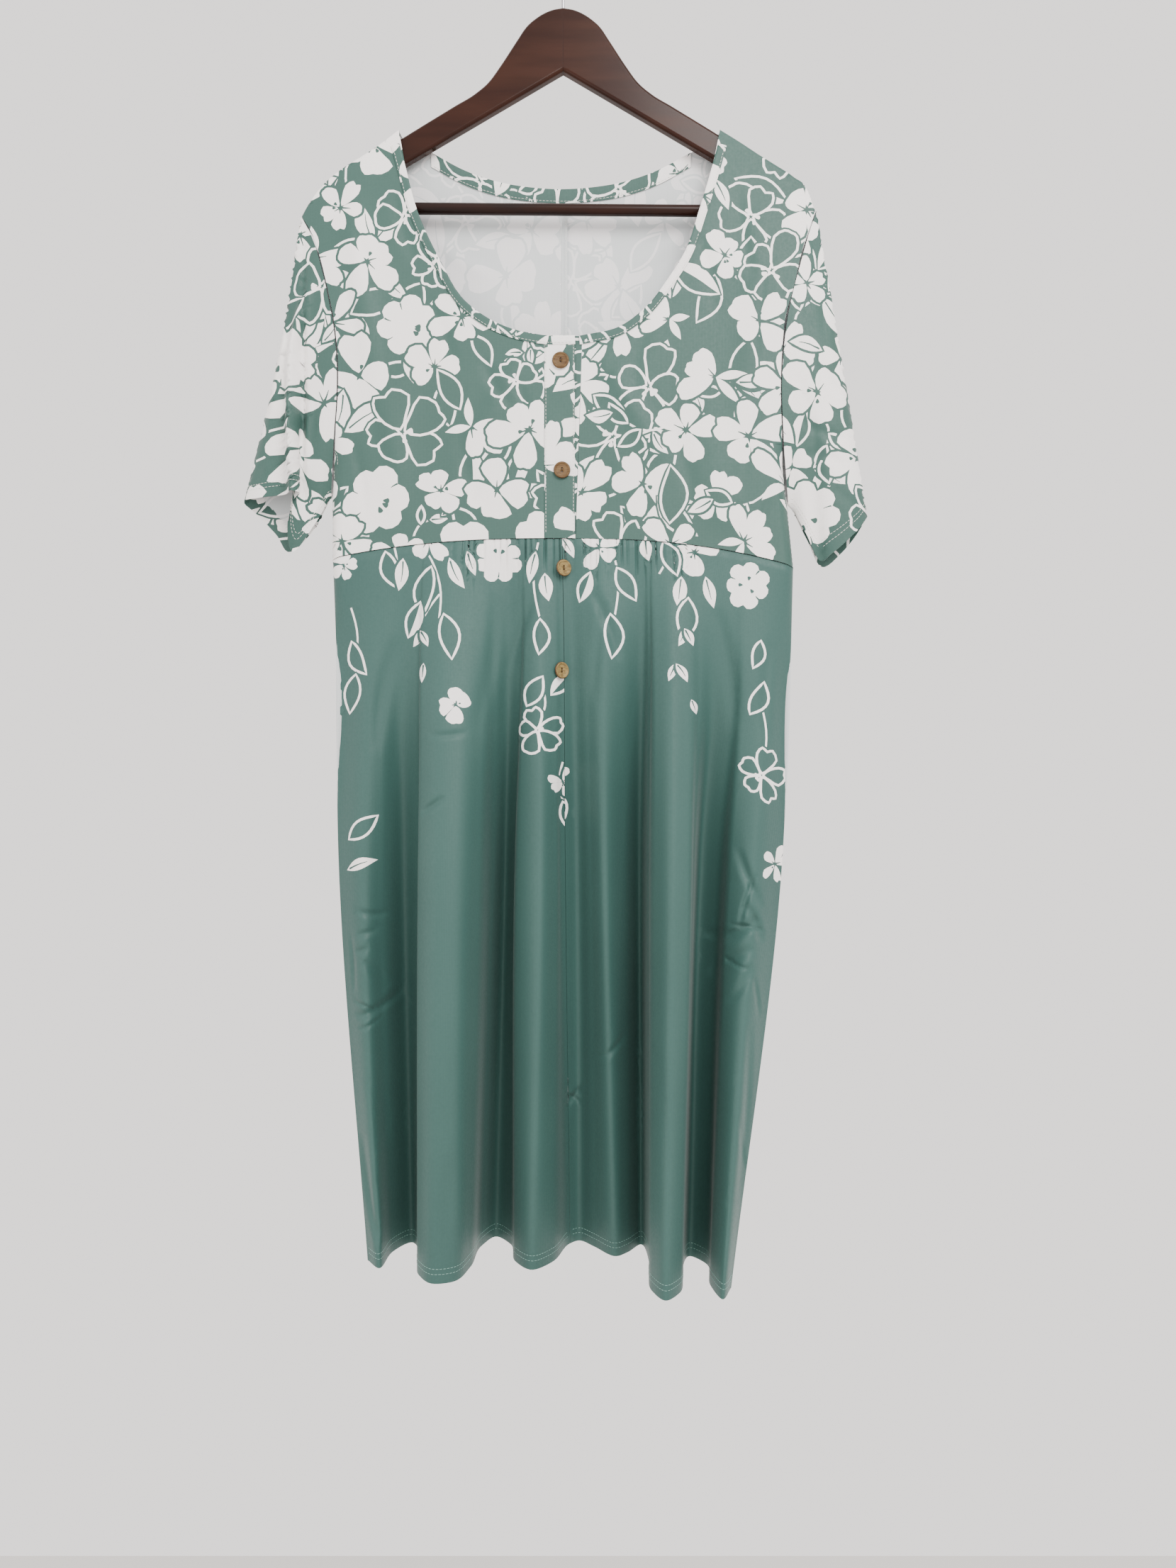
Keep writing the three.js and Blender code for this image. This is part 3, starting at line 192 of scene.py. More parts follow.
def knotsOf(columns):
    along = np.concatenate([[0], np.cumsum(np.linalg.norm(np.diff(columns, axis=0), axis=1))])
    return along / along[-1]


def lineThrough(points):  # x and z by a share of the line's length
    knots = knotsOf(points)
    return lambda t: np.stack([curveAt(knots, points[:, 0], t), curveAt(knots, points[:, 1], t)])


def ridgeZ(x):  # height of the shoulder line
    result = np.zeros_like(x)
    for line, here in ((shoulderLeft, x < 0), (shoulderRight, x >= 0)):
        xs = np.abs(line[:, 0])
        reach = np.minimum(np.abs(x), xs[-1])
        inner = dress["shoulderTop"] + (xs[0] - reach) * dress["neckSlope"]
        result = np.where(here, np.where(reach <= xs[0], inner, curveAt(xs, line[:, 1], reach)), result)
    return result


def seamZ(x):  # height of the empire seam
    lowX = np.where(x < 0, sideLowLeft[0], sideLowRight[0])
    lowZ = np.where(x < 0, sideLowLeft[1], sideLowRight[1])
    return mix(dress["waistSeam"], lowZ, np.minimum(1, np.abs(x / lowX)) ** 2.5)


def hemZ(x):
    return dress["hemHeight"] - x * dress["hemTilt"]


def sideX(z, left):  # edge of the bodice at a height
    result = np.zeros_like(z)
    for arm, low, here in ((armholeLeft, sideLowLeft, left), (armholeRight, sideLowRight, ~left)):
        end = arm[-1]
        below = mix(end[0], low[0], np.clip((end[1] - z) / (end[1] - low[1]), 0, 1))
        above = curveAt(-arm[:, 1], arm[:, 0], -z)
        result = np.where(here, np.where(z <= end[1], below, above), result)
    return result


def bodiceStand(x, z):  # how far the bodice stands from the hanger's plane
    drop = np.maximum(0, (ridgeZ(x) - z) * dress["fallShare"] - dress["ridgeFlat"])
    turn = 1 - np.minimum(drop, dress["ridgeIn"]) / dress["ridgeIn"]
    top = dress["ridgeOut"] * np.sqrt(np.maximum(0, 1 - turn * turn))
    top = top + (dress["bodiceDepth"] - dress["ridgeOut"]) * ease(dress["ridgeIn"], dress["chestDrop"], drop)
    inward = np.maximum(0, np.abs(sideX(z, x < 0)) - np.abs(x))
    edge = 1 - np.minimum(inward, dress["sideTurn"]) / dress["sideTurn"]
    side = np.sqrt(np.maximum(0, 1 - edge * edge))
    return top * mix(1, side, 1 - ease(dress["sideShut"], dress["sideOpen"], z))


def foldSum(x, z):
    total = np.zeros_like(x)
    for cx, cz, tilt, long, wide, out in bodiceFolds:
        along = (z - cz) + (x - cx) * tilt
        across = (x - cx) - (z - cz) * tilt
        total += out * np.exp(-(along / long) ** 2 - (across / wide) ** 2)
    return total


def calm(x, z):  # folds die away at seams and edges
    toSide = ease(*dress["calmSide"], np.abs(sideX(z, x < 0)) - np.abs(x))
    return (ease(*dress["calmSeam"], z - seamZ(x)) * toSide * ease(*dress["calmShoulder"], ridgeZ(x) - z)
            * ease(*dress["calmBand"], np.abs(x)))


def creaseAxis(x1, z1, x2, z2):
    length = math.hypot(x2 - x1, z2 - z1)
    return length, (x2 - x1) / length, (z2 - z1) / length


def creaseSum(table, x, z):  # troughs with a soft ridge on each side, uneven and fading to their ends
    total = np.zeros_like(x)
    for x1, z1, x2, z2, wide, depth, bow in table:
        length, ex, ez = creaseAxis(x1, z1, x2, z2)
        a = ((x - x1) * ex + (z - z1) * ez) / length
        b = (x - x1) * ez - (z - z1) * ex - bow * 4 * a * (1 - a)
        fade = np.sin(np.pi * np.clip(a, 0, 1)) ** 0.8
        q = (b / wide) ** 2
        total -= depth * fade * (1 - 0.7 * q) * np.exp(-q)
    return total


def creasePoints(table):  # places for fine vertices along each crease
    rows = []
    for x1, z1, x2, z2, wide, _, bow in table:
        length, ex, ez = creaseAxis(x1, z1, x2, z2)
        a, b = np.meshgrid(np.linspace(0.03, 0.97, max(6, int(length / 3))), np.linspace(-2.1, 2.1, 11) * wide)
        b = b + bow * 4 * a * (1 - a)
        rows.append(np.stack([x1 + a * length * ex + b * ez, z1 + a * length * ez - b * ex], 2).reshape(-1, 2))
    return np.concatenate(rows)


# creases: x1, z1, x2, z2, width, depth, bow
frontCreases = [
    (-196, -300, -181, -372, 7, 1.5, 3), (-188, -262, -170, -330, 6, 1.0, -3),
    (-150, -228, -128, -300, 8, 1.3, 4), (-120, -330, -96, -395, 7, 1.0, -3),
    (-70, -385, -44, -430, 7, 1.3, 3), (-40, -400, -18, -452, 6, 1.0, 2),
    (-35, -492, -14, -528, 5, 0.9, 2), (-170, -420, -150, -500, 9, 1.2, 4),
    (-190, -455, -176, -530, 6, 1.1, -3), (-90, -450, -70, -525, 9, 1.0, 3),
    (-196, -520, -168, -545, 5, 0.8, 2), (48, -388, 24, -432, 6, 1.1, -3),
    (80, -352, 66, -420, 8, 1.1, 3), (120, -262, 140, -350, 8, 1.2, -4),
    (160, -225, 176, -320, 7, 1.2, 3), (188, -300, 180, -390, 6, 1.3, -3),
    (184, -430, 160, -510, 8, 1.3, 3), (100, -440, 120, -530, 9, 1.1, -4),
    (48, -480, 26, -530, 6, 0.8, 2), (192, -500, 172, -548, 5, 0.9, -2)]
backCreases = [
    (-190, -300, -172, -380, 8, 1.4, 3), (-120, -260, -60, -300, 9, 1.0, 5),
    (-150, -420, -120, -520, 9, 1.2, 4), (-60, -360, -30, -470, 10, 1.0, -4),
    (40, -330, 70, -450, 10, 1.1, 5), (120, -250, 60, -290, 9, 1.0, -5),
    (180, -330, 165, -430, 7, 1.3, -3), (150, -440, 128, -530, 8, 1.2, -4), (10, -460, 20, -530, 8, 0.9, 2)]


def frontY(x, z):
    soft = calm(x, z)
    return -halfGap - bodiceStand(x, z) - foldSum(x, z) * soft - creaseSum(frontCreases, x, z) * soft


def frontRightY(x, z):
    return frontY(x, z) + dress["placketStep"] * (1 - ease(*dress["stepFade"], x))


def backY(x, z):
    soft = calm(x, z)
    folds = dress["backFolds"] * foldSum(-x, z)
    return halfGap + bodiceStand(x, z) + folds * soft + creaseSum(backCreases, x, z) * soft


def heightSurface(yOf, facing):  # a cloth face that is a height over x and z
    def surface(p):
        x, z = p[:, 0], p[:, 1]
        step = 0.35
        slopeX = (yOf(x + step, z) - yOf(x - step, z)) / (2 * step)
        slopeZ = (yOf(x, z + step) - yOf(x, z - step)) / (2 * step)
        return np.stack([x, yOf(x, z), z], 1), unit(np.stack([slopeX, -np.ones_like(x), slopeZ], 1) * -facing)
    return surface


def insideOf(points, polygon):  # which points lie in a closed polygon
    x, z = points[:, 0], points[:, 1]
    hit = np.zeros(len(points), bool)
    ax, az = polygon[:, 0], polygon[:, 1]
    bx, bz = np.roll(ax, -1), np.roll(az, -1)
    for i in range(len(polygon)):
        if az[i] == bz[i]:
            continue
        cross = (az[i] > z) != (bz[i] > z)
        hit ^= cross & (x < (bx[i] - ax[i]) * (z - az[i]) / (bz[i] - az[i]) + ax[i])
    return hit


def smoothLoop(points, steps=2):  # closed curve through given points
    p = np.asarray(points, float)
    before, after, later = np.roll(p, 1, 0), np.roll(p, -1, 0), np.roll(p, -2, 0)
    rows = []
    for k in range(steps):
        t = k / steps
        rows.append(0.5 * (2 * p + (after - before) * t + (2 * before - 5 * p + 4 * after - later) * t * t
                           + (3 * p - before - 3 * after + later) * t ** 3))
    return np.stack(rows, 1).reshape(-1, 2)


def grown(loop, by):  # the loop moved outwards
    along = np.roll(loop, -1, 0) - np.roll(loop, 1, 0)
    area = np.sum(loop[:, 0] * np.roll(loop[:, 1], -1) - loop[:, 1] * np.roll(loop[:, 0], -1))
    return loop + unit(np.stack([along[:, 1], -along[:, 0]], 1)) * by * (1 if area > 0 else -1)


def turned(loop, angle, x=0, z=0):
    c, s = math.cos(angle), math.sin(angle)
    return loop @ np.array([[c, s], [-s, c]]) + np.array([x, z])


# the print's own shapes: each is a list of (paint, loop), where paint 1 is white and 0 is the ground
printing = {
    "line": 1.15,  # half the width of a drawn line
    "halo": 2.3,  # ground left round a solid motif
    "lineHalo": 2.9,  # ground left round a drawn motif
    "pitch": 62,  # spacing of the dense flowers
    "rowShare": 0.84,  # of the pitch, from row to row
    "stray": 0.17,  # of the pitch, how far a flower lies off its place
    "flowers": {"flower": 0.37, "openFlower": 0.23, "blossom": 0.1, "lineFlower": 0.3},
    "leaves": {"leaf": 0.24, "lineLeaf": 0.34, "halfLeaf": 0.12, "leafPair": 0.1, "twig": 0.2},
    "leavesEach": 2,  # round every flower
    "leafAway": 0.3,  # of the pitch
}


def petalLoop(length, width, notch, rng):
    w, skew = width / 2, rng.uniform(-0.12, 0.12) * width
    tip = length * (1 - notch)
    return smoothLoop([(length * 0.07, 0), (length * 0.34, w * 0.62), (length * 0.72, w + skew),
                       (length * 0.97, w * 0.55), (tip, 0), (length * 0.98, -w * 0.5),
                       (length * 0.7, -w + skew), (length * 0.32, -w * 0.6)])


def dropLoop(length, width):
    w = width / 2
    return smoothLoop([(0, 0), (length * 0.45, w * 0.8), (length * 0.85, w), (length, 0),
                       (length * 0.85, -w), (length * 0.45, -w * 0.8)])


def leafLoop(length, width, bend, rng):
    a = np.linspace(0, 1, 9)
    wave = np.sin(np.pi * a ** 0.9) * width / 2
    middle = bend * np.sin(np.pi * a * 0.8)
    upper, lower = [np.stack([length * a, middle + side * wave * rng.uniform(0.85, 1.15)], 1) for side in (1, -1)]
    return np.concatenate([upper, lower[1:-1][::-1]])


def veinLoop(length, width, bend):
    a = np.linspace(0.1, 0.72, 5)
    middle = bend * np.sin(np.pi * a * 0.8)
    half = width / 2 * (1 - a)
    return np.concatenate([np.stack([length * a, middle + half], 1),
                           np.stack([length * a, middle - half], 1)[::-1]])


def strokeLoop(points, half):
    p = np.asarray(points, float)
    along = np.gradient(p, axis=0)
    normal = unit(np.stack([-along[:, 1], along[:, 0]], 1))
    return np.concatenate([p + normal * half, (p - normal * half)[::-1]])


def halos(shapes, kind="halo"):  # the ground round motifs
    return [(0, grown(shape, printing[kind])) for shape in shapes]


def solids(shapes):
    return halos(shapes) + [(1, shape) for shape in shapes]


def drawn(shape):
    return [(1, grown(shape, printing["line"])), (0, grown(shape, -printing["line"]))]


def dropAt(paint, r, length, width, away, angle):
    drop = dropLoop(r * length, r * width)
    return paint, turned(drop, angle, r * away * math.cos(angle), r * away * math.sin(angle))


def slits(turns, r, rng, chance):
    made = []
    for a in turns:
        if rng.random() < chance:
            slit = veinLoop(r * rng.uniform(0.3, 0.55), rng.uniform(1.6, 2.4), rng.uniform(-0.6, 0.6))
            made.append((0, turned(slit, a + rng.uniform(-0.15, 0.15))))
    return made


def solidFlower(r, rng):
    petals = rng.choice([4, 5, 5])
    turns = [2 * math.pi * (k + rng.uniform(-0.17, 0.17)) / petals for k in range(petals)]
    plump = rng.uniform(0.5, 0.84) * 5 / petals
    shapes = [turned(petalLoop(r * rng.uniform(0.72, 1.16), r * plump * rng.uniform(0.85, 1.1),
                               rng.choice([0.0, 0.04, 0.1]), rng), a) for a in turns]
    made = solids(shapes) + slits(turns, r, rng, 0.45)
    for _ in range(rng.randint(0, 3)):
        made.append(dropAt(0, r, 0.14, 0.1, 0.16, rng.uniform(0, 2 * math.pi)))
    return made


def openFlower(r, rng):  # a few long petals fanned out over two narrow leaves
    count = rng.choice([3, 3, 4])
    turns = [(k - (count - 1) / 2) * rng.uniform(0.62, 0.8) for k in range(count)]
    shapes = [turned(petalLoop(r * rng.uniform(0.9, 1.3), r * rng.uniform(0.46, 0.66), 0.03, rng), a)
              for a in turns]
    shapes += [turned(leafLoop(r * rng.uniform(0.75, 1.1), r * 0.3, rng.uniform(-0.1, 0.1) * r, rng),
                      math.pi + side * rng.uniform(0.35, 0.95)) for side in (-1, 1)]
    return solids(shapes) + slits(turns, r, rng, 0.6)


def blossom(r, rng):
    lobes = rng.choice([6, 7, 8])
    a = np.linspace(0, 2 * np.pi, lobes * 5, endpoint=False)
    uneven = 1 + 0.06 * np.sin(2 * a + rng.uniform(0, 6)) + 0.05 * np.sin(3 * a + rng.uniform(0, 6))
    radius = r * (0.8 + 0.2 * np.abs(np.sin(lobes * a / 2)) ** 0.6) * uneven
    made = solids([np.stack([radius * np.cos(a), radius * np.sin(a)], 1)])
    for k in range(3):
        made.append(dropAt(0, r, 0.2, 0.15, 0.2, rng.uniform(0, 2 * math.pi) + k * 2.1))
    for k in range(lobes):
        if rng.random() < 0.5:
            b = 2 * math.pi * k / lobes
            slit = veinLoop(r * 0.36, rng.uniform(1.5, 2.2), rng.uniform(-1, 1))
            made.append((0, turned(slit, b + math.pi, r * 0.84 * math.cos(b), r * 0.84 * math.sin(b))))
    return made


def lineFlower(r, rng):
    petals = 5
    turns = [2 * math.pi * (k + rng.uniform(-0.16, 0.16)) / petals for k in range(petals)]
    shapes = [turned(petalLoop(r * rng.uniform(0.75, 1.2), r * rng.uniform(0.66, 1.0), rng.choice([0, 0.06, 0.12]),
                               rng), a) for a in turns]
    made = halos(shapes, "lineHalo")
    for shape in shapes:
        made += drawn(shape)
    for k in range(3):
        made.append(dropAt(1, r, 0.17, 0.12, 0.12, rng.uniform(0, 2 * math.pi) + k * 2))
    return made


def solidLeaf(r, rng):
    bend = rng.uniform(-0.16, 0.16) * r
    leaf = leafLoop(r, r * rng.uniform(0.36, 0.5), bend, rng)
    return solids([leaf]) + [(0, veinLoop(r, rng.uniform(1.4, 2.2), bend))]


def lineLeaf(r, rng):
    bend = rng.uniform(-0.14, 0.14) * r
    leaf = leafLoop(r, r * rng.uniform(0.4, 0.52), bend, rng)
    return halos([leaf], "lineHalo") + drawn(leaf)


def halfLeaf(r, rng):
    a = np.linspace(0, 1, 9)
    wave = np.sin(np.pi * a) * r * 0.22
    leaf, half = [np.concatenate([np.stack([r * a, wave], 1), np.stack([r * a, wave * low], 1)[1:-1][::-1]])
                  for low in (-1, 0.1)]
    return halos([leaf], "lineHalo") + drawn(leaf) + [(1, half)]


def leafPair(r, rng):
    made = []
    for side in (-1, 1):
        for paint, loop in solidLeaf(r * rng.uniform(0.8, 1), rng):
            made.append((paint, turned(loop, side * rng.uniform(0.35, 0.55))))
    return made


def twig(r, rng):
    a = np.linspace(0, 1, 7)
    made = [(1, strokeLoop(np.stack([r * a, 0.14 * r * np.sin(a * 4)], 1), printing["line"] * 0.85))]
    for share, side in ((0.45, 1), (0.7, -1), (1.0, 0.2)):
        root = (r * share, 0.14 * r * math.sin(share * 4))
        for paint, loop in rng.choice([lineLeaf, solidLeaf])(r * 0.5, rng):
            made.append((paint, turned(loop, side * 0.75, *root)))
    return made


motifKinds = {"flower": solidFlower, "openFlower": openFlower, "blossom": blossom, "lineFlower": lineFlower,
              "leaf": solidLeaf, "lineLeaf": lineLeaf, "halfLeaf": halfLeaf, "leafPair": leafPair, "twig": twig}


def oneOf(weights, rng):
    return rng.choices([*weights], [*weights.values()])[0]


def placed(kind, x, z, r, angle, rng):
    return [(paint, turned(loop, angle, x, z)) for paint, loop in motifKinds[kind](r, rng)]


def densePrint(points, seed, margin=30):  # leaves and drawn flowers first, solid flowers over them
    rng = random.Random(seed)
    under, over = [], []
    low, high = points.min(0) - margin, points.max(0) + margin
    pitch, stray = printing["pitch"], printing["stray"]
    rowPitch, away = pitch * printing["rowShare"], pitch * printing["leafAway"]
    for j in range(int((high[1] - low[1]) / rowPitch) + 1):
        for i in range(int((high[0] - low[0]) / pitch) + 2):
            x = low[0] + (i - 0.5 * (j % 2)) * pitch + rng.uniform(-stray, stray) * pitch
            z = high[1] - j * rowPitch + rng.uniform(-stray, stray) * pitch
            kind = oneOf(printing["flowers"], rng)
            made = placed(kind, x, z, pitch * rng.uniform(0.38, 0.56), rng.uniform(0, 6.28), rng)
            (under if kind == "lineFlower" and rng.random() < 0.5 else over).append(made)
            for _ in range(printing["leavesEach"]):
                a = rng.uniform(0, 6.28)
                kind = oneOf(printing["leaves"], rng)
                leaf = placed(kind, x + away * math.cos(a), z + away * math.sin(a),
                              pitch * rng.uniform(0.5, 0.85), a, rng)
                if rng.random() < 0.2:
                    over.append(leaf)
                else:
                    under.insert(0, leaf)
    return [part for made in under + over for part in made]


bakeSquare = {"edge": 0.005, "faceWide": 0.7, "inside": 0.72, "insideWide": 0.275, "high": 0.99}


def newObject(name, data):
    obj = bpy.data.objects.new(name, data)
    bpy.context.scene.collection.objects.link(obj)
    return obj


def showPiece(name, mesh, nodes=()):
    obj = newObject(name, mesh)
    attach(obj, "root")
    if nodes:
        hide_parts(*nodes)


def tidyNormals(mesh):
    work = bmesh.new()
    work.from_mesh(mesh)
    bmesh.ops.recalc_face_normals(work, faces=work.faces)
    work.to_mesh(mesh)
    work.free()


def meshFrom(name, corners, faces, materials, faceMaterial=None, normals=None, uvs=None):
    mesh = bpy.data.meshes.new(name)
    mesh.from_pydata(corners.tolist(), [], faces)
    for material in materials:
        mesh.materials.append(material)
    if faceMaterial is not None:
        mesh.polygons.foreach_set("material_index", np.asarray(faceMaterial, np.int32))
    mesh.shade_smooth()
    for label, uv in (uvs or {}).items():
        mesh.uv_layers.new(name=label).data.foreach_set("uv", uv.astype(np.float32).ravel())
    if normals is not None:
        mesh.normals_split_custom_set(normals.tolist())
    mesh.update()
    return mesh


def loopEdges(first, count):
    return [(first + i, first + (i + 1) % count) for i in range(count)]


def circle(radius, count, shift=0):
    turn = np.linspace(0, 2 * np.pi, count, endpoint=False)
    return np.stack([radius * np.cos(turn), shift + radius * np.sin(turn)], 1)


def ringFaces(around, rings):  # quads between rings of corners
    return [(k * around + i, k * around + j, (k + 1) * around + j, (k + 1) * around + i)
            for k in range(rings - 1) for i, j in loopEdges(0, around)]


def rodFaces(around, rings):  # the same, closed at both ends
    last = (rings - 1) * around
    return ringFaces(around, rings) + [tuple(range(around))[::-1], tuple(range(last, last + around))]


def cutSheet(corners, edges, inside, close=1e-6):  # triangles between the edges, where inside says so
    found, _, faces, _, _, _ = delaunay_2d_cdt([Vector(p) for p in corners], edges, [], 0, close)
    flat, tri = np.array([v[:] for v in found]), np.array(faces)
    tri = tri[inside(flat[tri].mean(1))]
    ids, tri = np.unique(tri, return_inverse=True)
    return flat[ids], tri.reshape(-1, 3)


def rimQuads(tri, count):  # walls that join a sheet's open edges to its copy, and the triangle at each
    sides = np.concatenate([tri[:, [0, 1]], tri[:, [1, 2]], tri[:, [2, 0]]])
    _, inverse, counts = np.unique(np.sort(sides, 1) @ [count, 1], return_inverse=True, return_counts=True)
    rim = counts[inverse] == 1
    p, q = sides[rim].T
    return np.stack([q, p, p + count, q + count], 1), np.tile(np.arange(len(tri)), 3)[rim]


def addLoops(corners, edges, loops):
    for loop in loops:
        edges += loopEdges(len(corners), len(loop))
        corners += [*loop]


def paintAt(places, motifs):  # the paint of the last motif over each place
    paint = np.zeros(len(places), int)
    for value, loop in motifs:
        near = np.nonzero((places > loop.min(0)).all(1) & (places < loop.max(0)).all(1))[0]
        if len(near):
            paint[near[insideOf(places[near], loop)]] = value
    return paint


def clothShell(name, nodes, points, border, surface, motifs, materials,
               lines=(), layer=0, turnUp=None, thickness=dress["thickness"], fine=()):
    outline = points[border]
    low, high = outline.min(0), outline.max(0)
    corners = [*points, *fine]
    edges = list(zip(border, border[1:] + border[:1]))
    for chain in lines:
        edges += list(zip(chain[:-1], chain[1:]))
    used = [(paint, loop) for paint, loop in motifs if (loop.max(0) >= low).all() and (loop.min(0) <= high).all()]
    addLoops(corners, edges, [loop for _, loop in used])
    flat, tri = cutSheet(corners, edges, lambda centre: insideOf(centre, outline), 1e-5)
    paint = paintAt(flat[tri].mean(1), used)
    outer, normal, *toHem = surface(flat)
    inner = outer - normal * thickness
    if layer:
        inner[:, 1] = layer * np.maximum(halfGap, layer * inner[:, 1])
    a, b, c = outer[tri[:, 0]], outer[tri[:, 1]], outer[tri[:, 2]]
    back = np.einsum("ij,ij->i", np.cross(b - a, c - a), normal[tri].sum(1)) < 0
    tri[back] = tri[back][:, ::-1]
    n = len(flat)
    quads, owner = rimQuads(tri, n)
    both = (np.concatenate([outer, inner]) + [dress["shift"], 0, 0]) * mm
    inside = 2 + paint
    if turnUp is not None:
        inside = np.where(toHem[0][tri].mean(1) < turnUp, paint, inside)
    rimNormal = unit(np.cross(both[quads[:, 1]] - both[quads[:, 0]], both[quads[:, 2]] - both[quads[:, 0]]), 1e-12)
    loops = np.concatenate([tri.ravel(), tri[:, ::-1].ravel() + n, quads.ravel()])
    normals = np.concatenate([normal[tri.ravel()], -normal[tri[:, ::-1].ravel()], np.repeat(rimNormal, 4, 0)])
    place = np.concatenate([flat, flat])[loops]
    share = (place - low) / (high - low)
    within = np.zeros(len(loops), bool)  # the inner face has its own part of the bake's square
    within[3 * len(tri):6 * len(tri)] = True
    across = np.where(within, bakeSquare["inside"] + bakeSquare["insideWide"] * share[:, 0],
                      bakeSquare["edge"] + bakeSquare["faceWide"] * share[:, 0])
    bake = np.stack([across, bakeSquare["edge"] + bakeSquare["high"] * share[:, 1]], 1)
    mesh = meshFrom(name, both, tri.tolist() + (tri[:, ::-1] + n).tolist() + quads.tolist(), materials,
                    np.concatenate([paint, inside, paint[owner]]), normals,
                    {"clothUv": place * mm, "OFBake": bake})
    showPiece(name, mesh, nodes)
    print(name, len(mesh.polygons), "faces", round(sum(f.area for f in mesh.polygons) / 2, 4), "m2 of cloth")


def gridPoints(flatMap, rows):  # corners, rows of their numbers, and the border; rows is a list of (v, us)
    points, index, count = [], [], 0
    for v, us in rows:
        us = np.asarray(us, float)
        points.append(flatMap(us, np.full(len(us), float(v))).T)
        index.append(list(range(count, count + len(us))))
        count += len(us)
    middle = index[1:-1]
    border = index[0] + [row[-1] for row in middle] + index[-1][::-1] + [row[0] for row in middle][::-1]
    return np.concatenate(points), index, border


def crossSurface(pointOf, facing, step=0.4):
    def surface(p):
        ahead = pointOf(p + [step, 0]) - pointOf(p - [step, 0])
        up = pointOf(p + [0, step]) - pointOf(p - [0, step])
        return pointOf(p), unit(np.cross(ahead, up) * facing)
    return surface


def straight(a, b):
    a, b = np.array(a, float)[:, None], np.array(b, float)[:, None]
    return lambda t: a + (b - a) * t


def joined(first, second, corner):
    return lambda v: np.where(v <= corner, first(np.clip(v / corner, 0, 1)),
                              second(np.clip((v - corner) / (1 - corner), 0, 1)))


def bodiceFlat(left, neckPoints, neckShare, edgeLow):  # x and z of a bodice panel over u and v
    shoulderEnds = (shoulderLeft if left else shoulderRight)[[0, -1], 0]
    arm = armholeLeft if left else armholeRight
    low = sideLowLeft if left else sideLowRight
    seamAt = lambda x: float(seamZ(np.array([x]))[0])
    inner = joined(lineThrough(neckPoints), straight(neckPoints[-1], (edgeLow, seamAt(edgeLow))), neckShare)
    outer = joined(lineThrough(arm), straight(arm[-1], low), 0.8)

    def shoulder(u):
        x = mix(*shoulderEnds, u)
        return np.stack([x, ridgeZ(x)])

    def bottom(u):
        x = mix(edgeLow, low[0], u)
        return np.stack([x, seamZ(x)])

    zero, one = np.zeros(1), np.ones(1)
    corner = [inner(zero), outer(zero), inner(one), outer(one)]

    def at(u, v):
        place = ((1 - u) * inner(v) + u * outer(v) + (1 - v) * shoulder(u) + v * bottom(u)
                 - (1 - u) * (1 - v) * corner[0] - u * (1 - v) * corner[1]
                 - (1 - u) * v * corner[2] - u * v * corner[3])
        place[1] += halfGap * v
        return place
    return at


# materials: colours are linear
looks = {
    # the Deep colours serve the knit's random patches and also its painted shade in the dips
    "bodiceGround": (0.042, 0.098, 0.082), "bodiceDeep": (0.029, 0.073, 0.061),
    "skirtGround": (0.040, 0.100, 0.088), "skirtDeep": (0.024, 0.069, 0.061),
    "white": (0.97, 0.935, 0.915), "whiteDeep": (0.87, 0.84, 0.83),
    "insideGround": (0.60, 0.63, 0.64), "insideWhite": (0.78, 0.77, 0.78),
    "thread": (0.24, 0.42, 0.37), "paleThread": (0.80, 0.79, 0.74),
    "lacquer": (0.019, 0.0045, 0.0018), "lacquerLight": (0.030, 0.0080, 0.0032),
    "barLacquer": (0.008, 0.003, 0.0022),
    "button": (0.145, 0.084, 0.033), "buttonDark": (0.068, 0.033, 0.012),
    # the lower buttons' colours: the same wood painted paler, a painted reflection
    "buttonPaintedReflection": (0.260, 0.185, 0.070), "buttonPaintedReflectionGrain": (0.130, 0.080, 0.026),
    "knitPitch": 0.0012, "knitRelief": 0.00012,
}


def rgba(name):
    return (*looks[name], 1.0)


def nodeGroup(name, inputs, outputs):
    group = bpy.data.node_groups.new(name, "ShaderNodeTree")
    for label, kind, value in inputs:
        group.interface.new_socket(label, in_out="INPUT", socket_type=kind).default_value = value
    for label, kind in outputs:
        group.interface.new_socket(label, in_out="OUTPUT", socket_type=kind)
    return group, group.nodes.new("NodeGroupInput"), group.nodes.new("NodeGroupOutput")


def mathNode(tree, operation, a, b=None):
    node = tree.nodes.new("ShaderNodeMath")
    node.operation = operation
    for i, value in enumerate((a, b)):
        if value is None:
            continue
        if isinstance(value, (int, float)):
            node.inputs[i].default_value = value
        else:
            tree.links.new(value, node.inputs[i])
    return node.outputs[0]


def colourMix(tree, share, a, b):
    node = tree.nodes.new("ShaderNodeMix")
    node.data_type = "RGBA"
    tree.links.new(share, node.inputs["Factor"])
    for label, value in (("A", a), ("B", b)):
        socket = next(s for s in node.inputs if s.name == label and s.type == "RGBA")
        tree.links.new(value, socket)
    return next(s for s in node.outputs if s.type == "RGBA")


def textureNode(tree, kind, vector, scale, **settings):
    node = tree.nodes.new(kind)
    for key, value in settings.items():
        if key in node.inputs:
            node.inputs[key].default_value = value
        else:
            setattr(node, key, value)
    node.inputs["Scale"].default_value = scale
    tree.links.new(vector, node.inputs["Vector"])
    return node.outputs["Fac"]


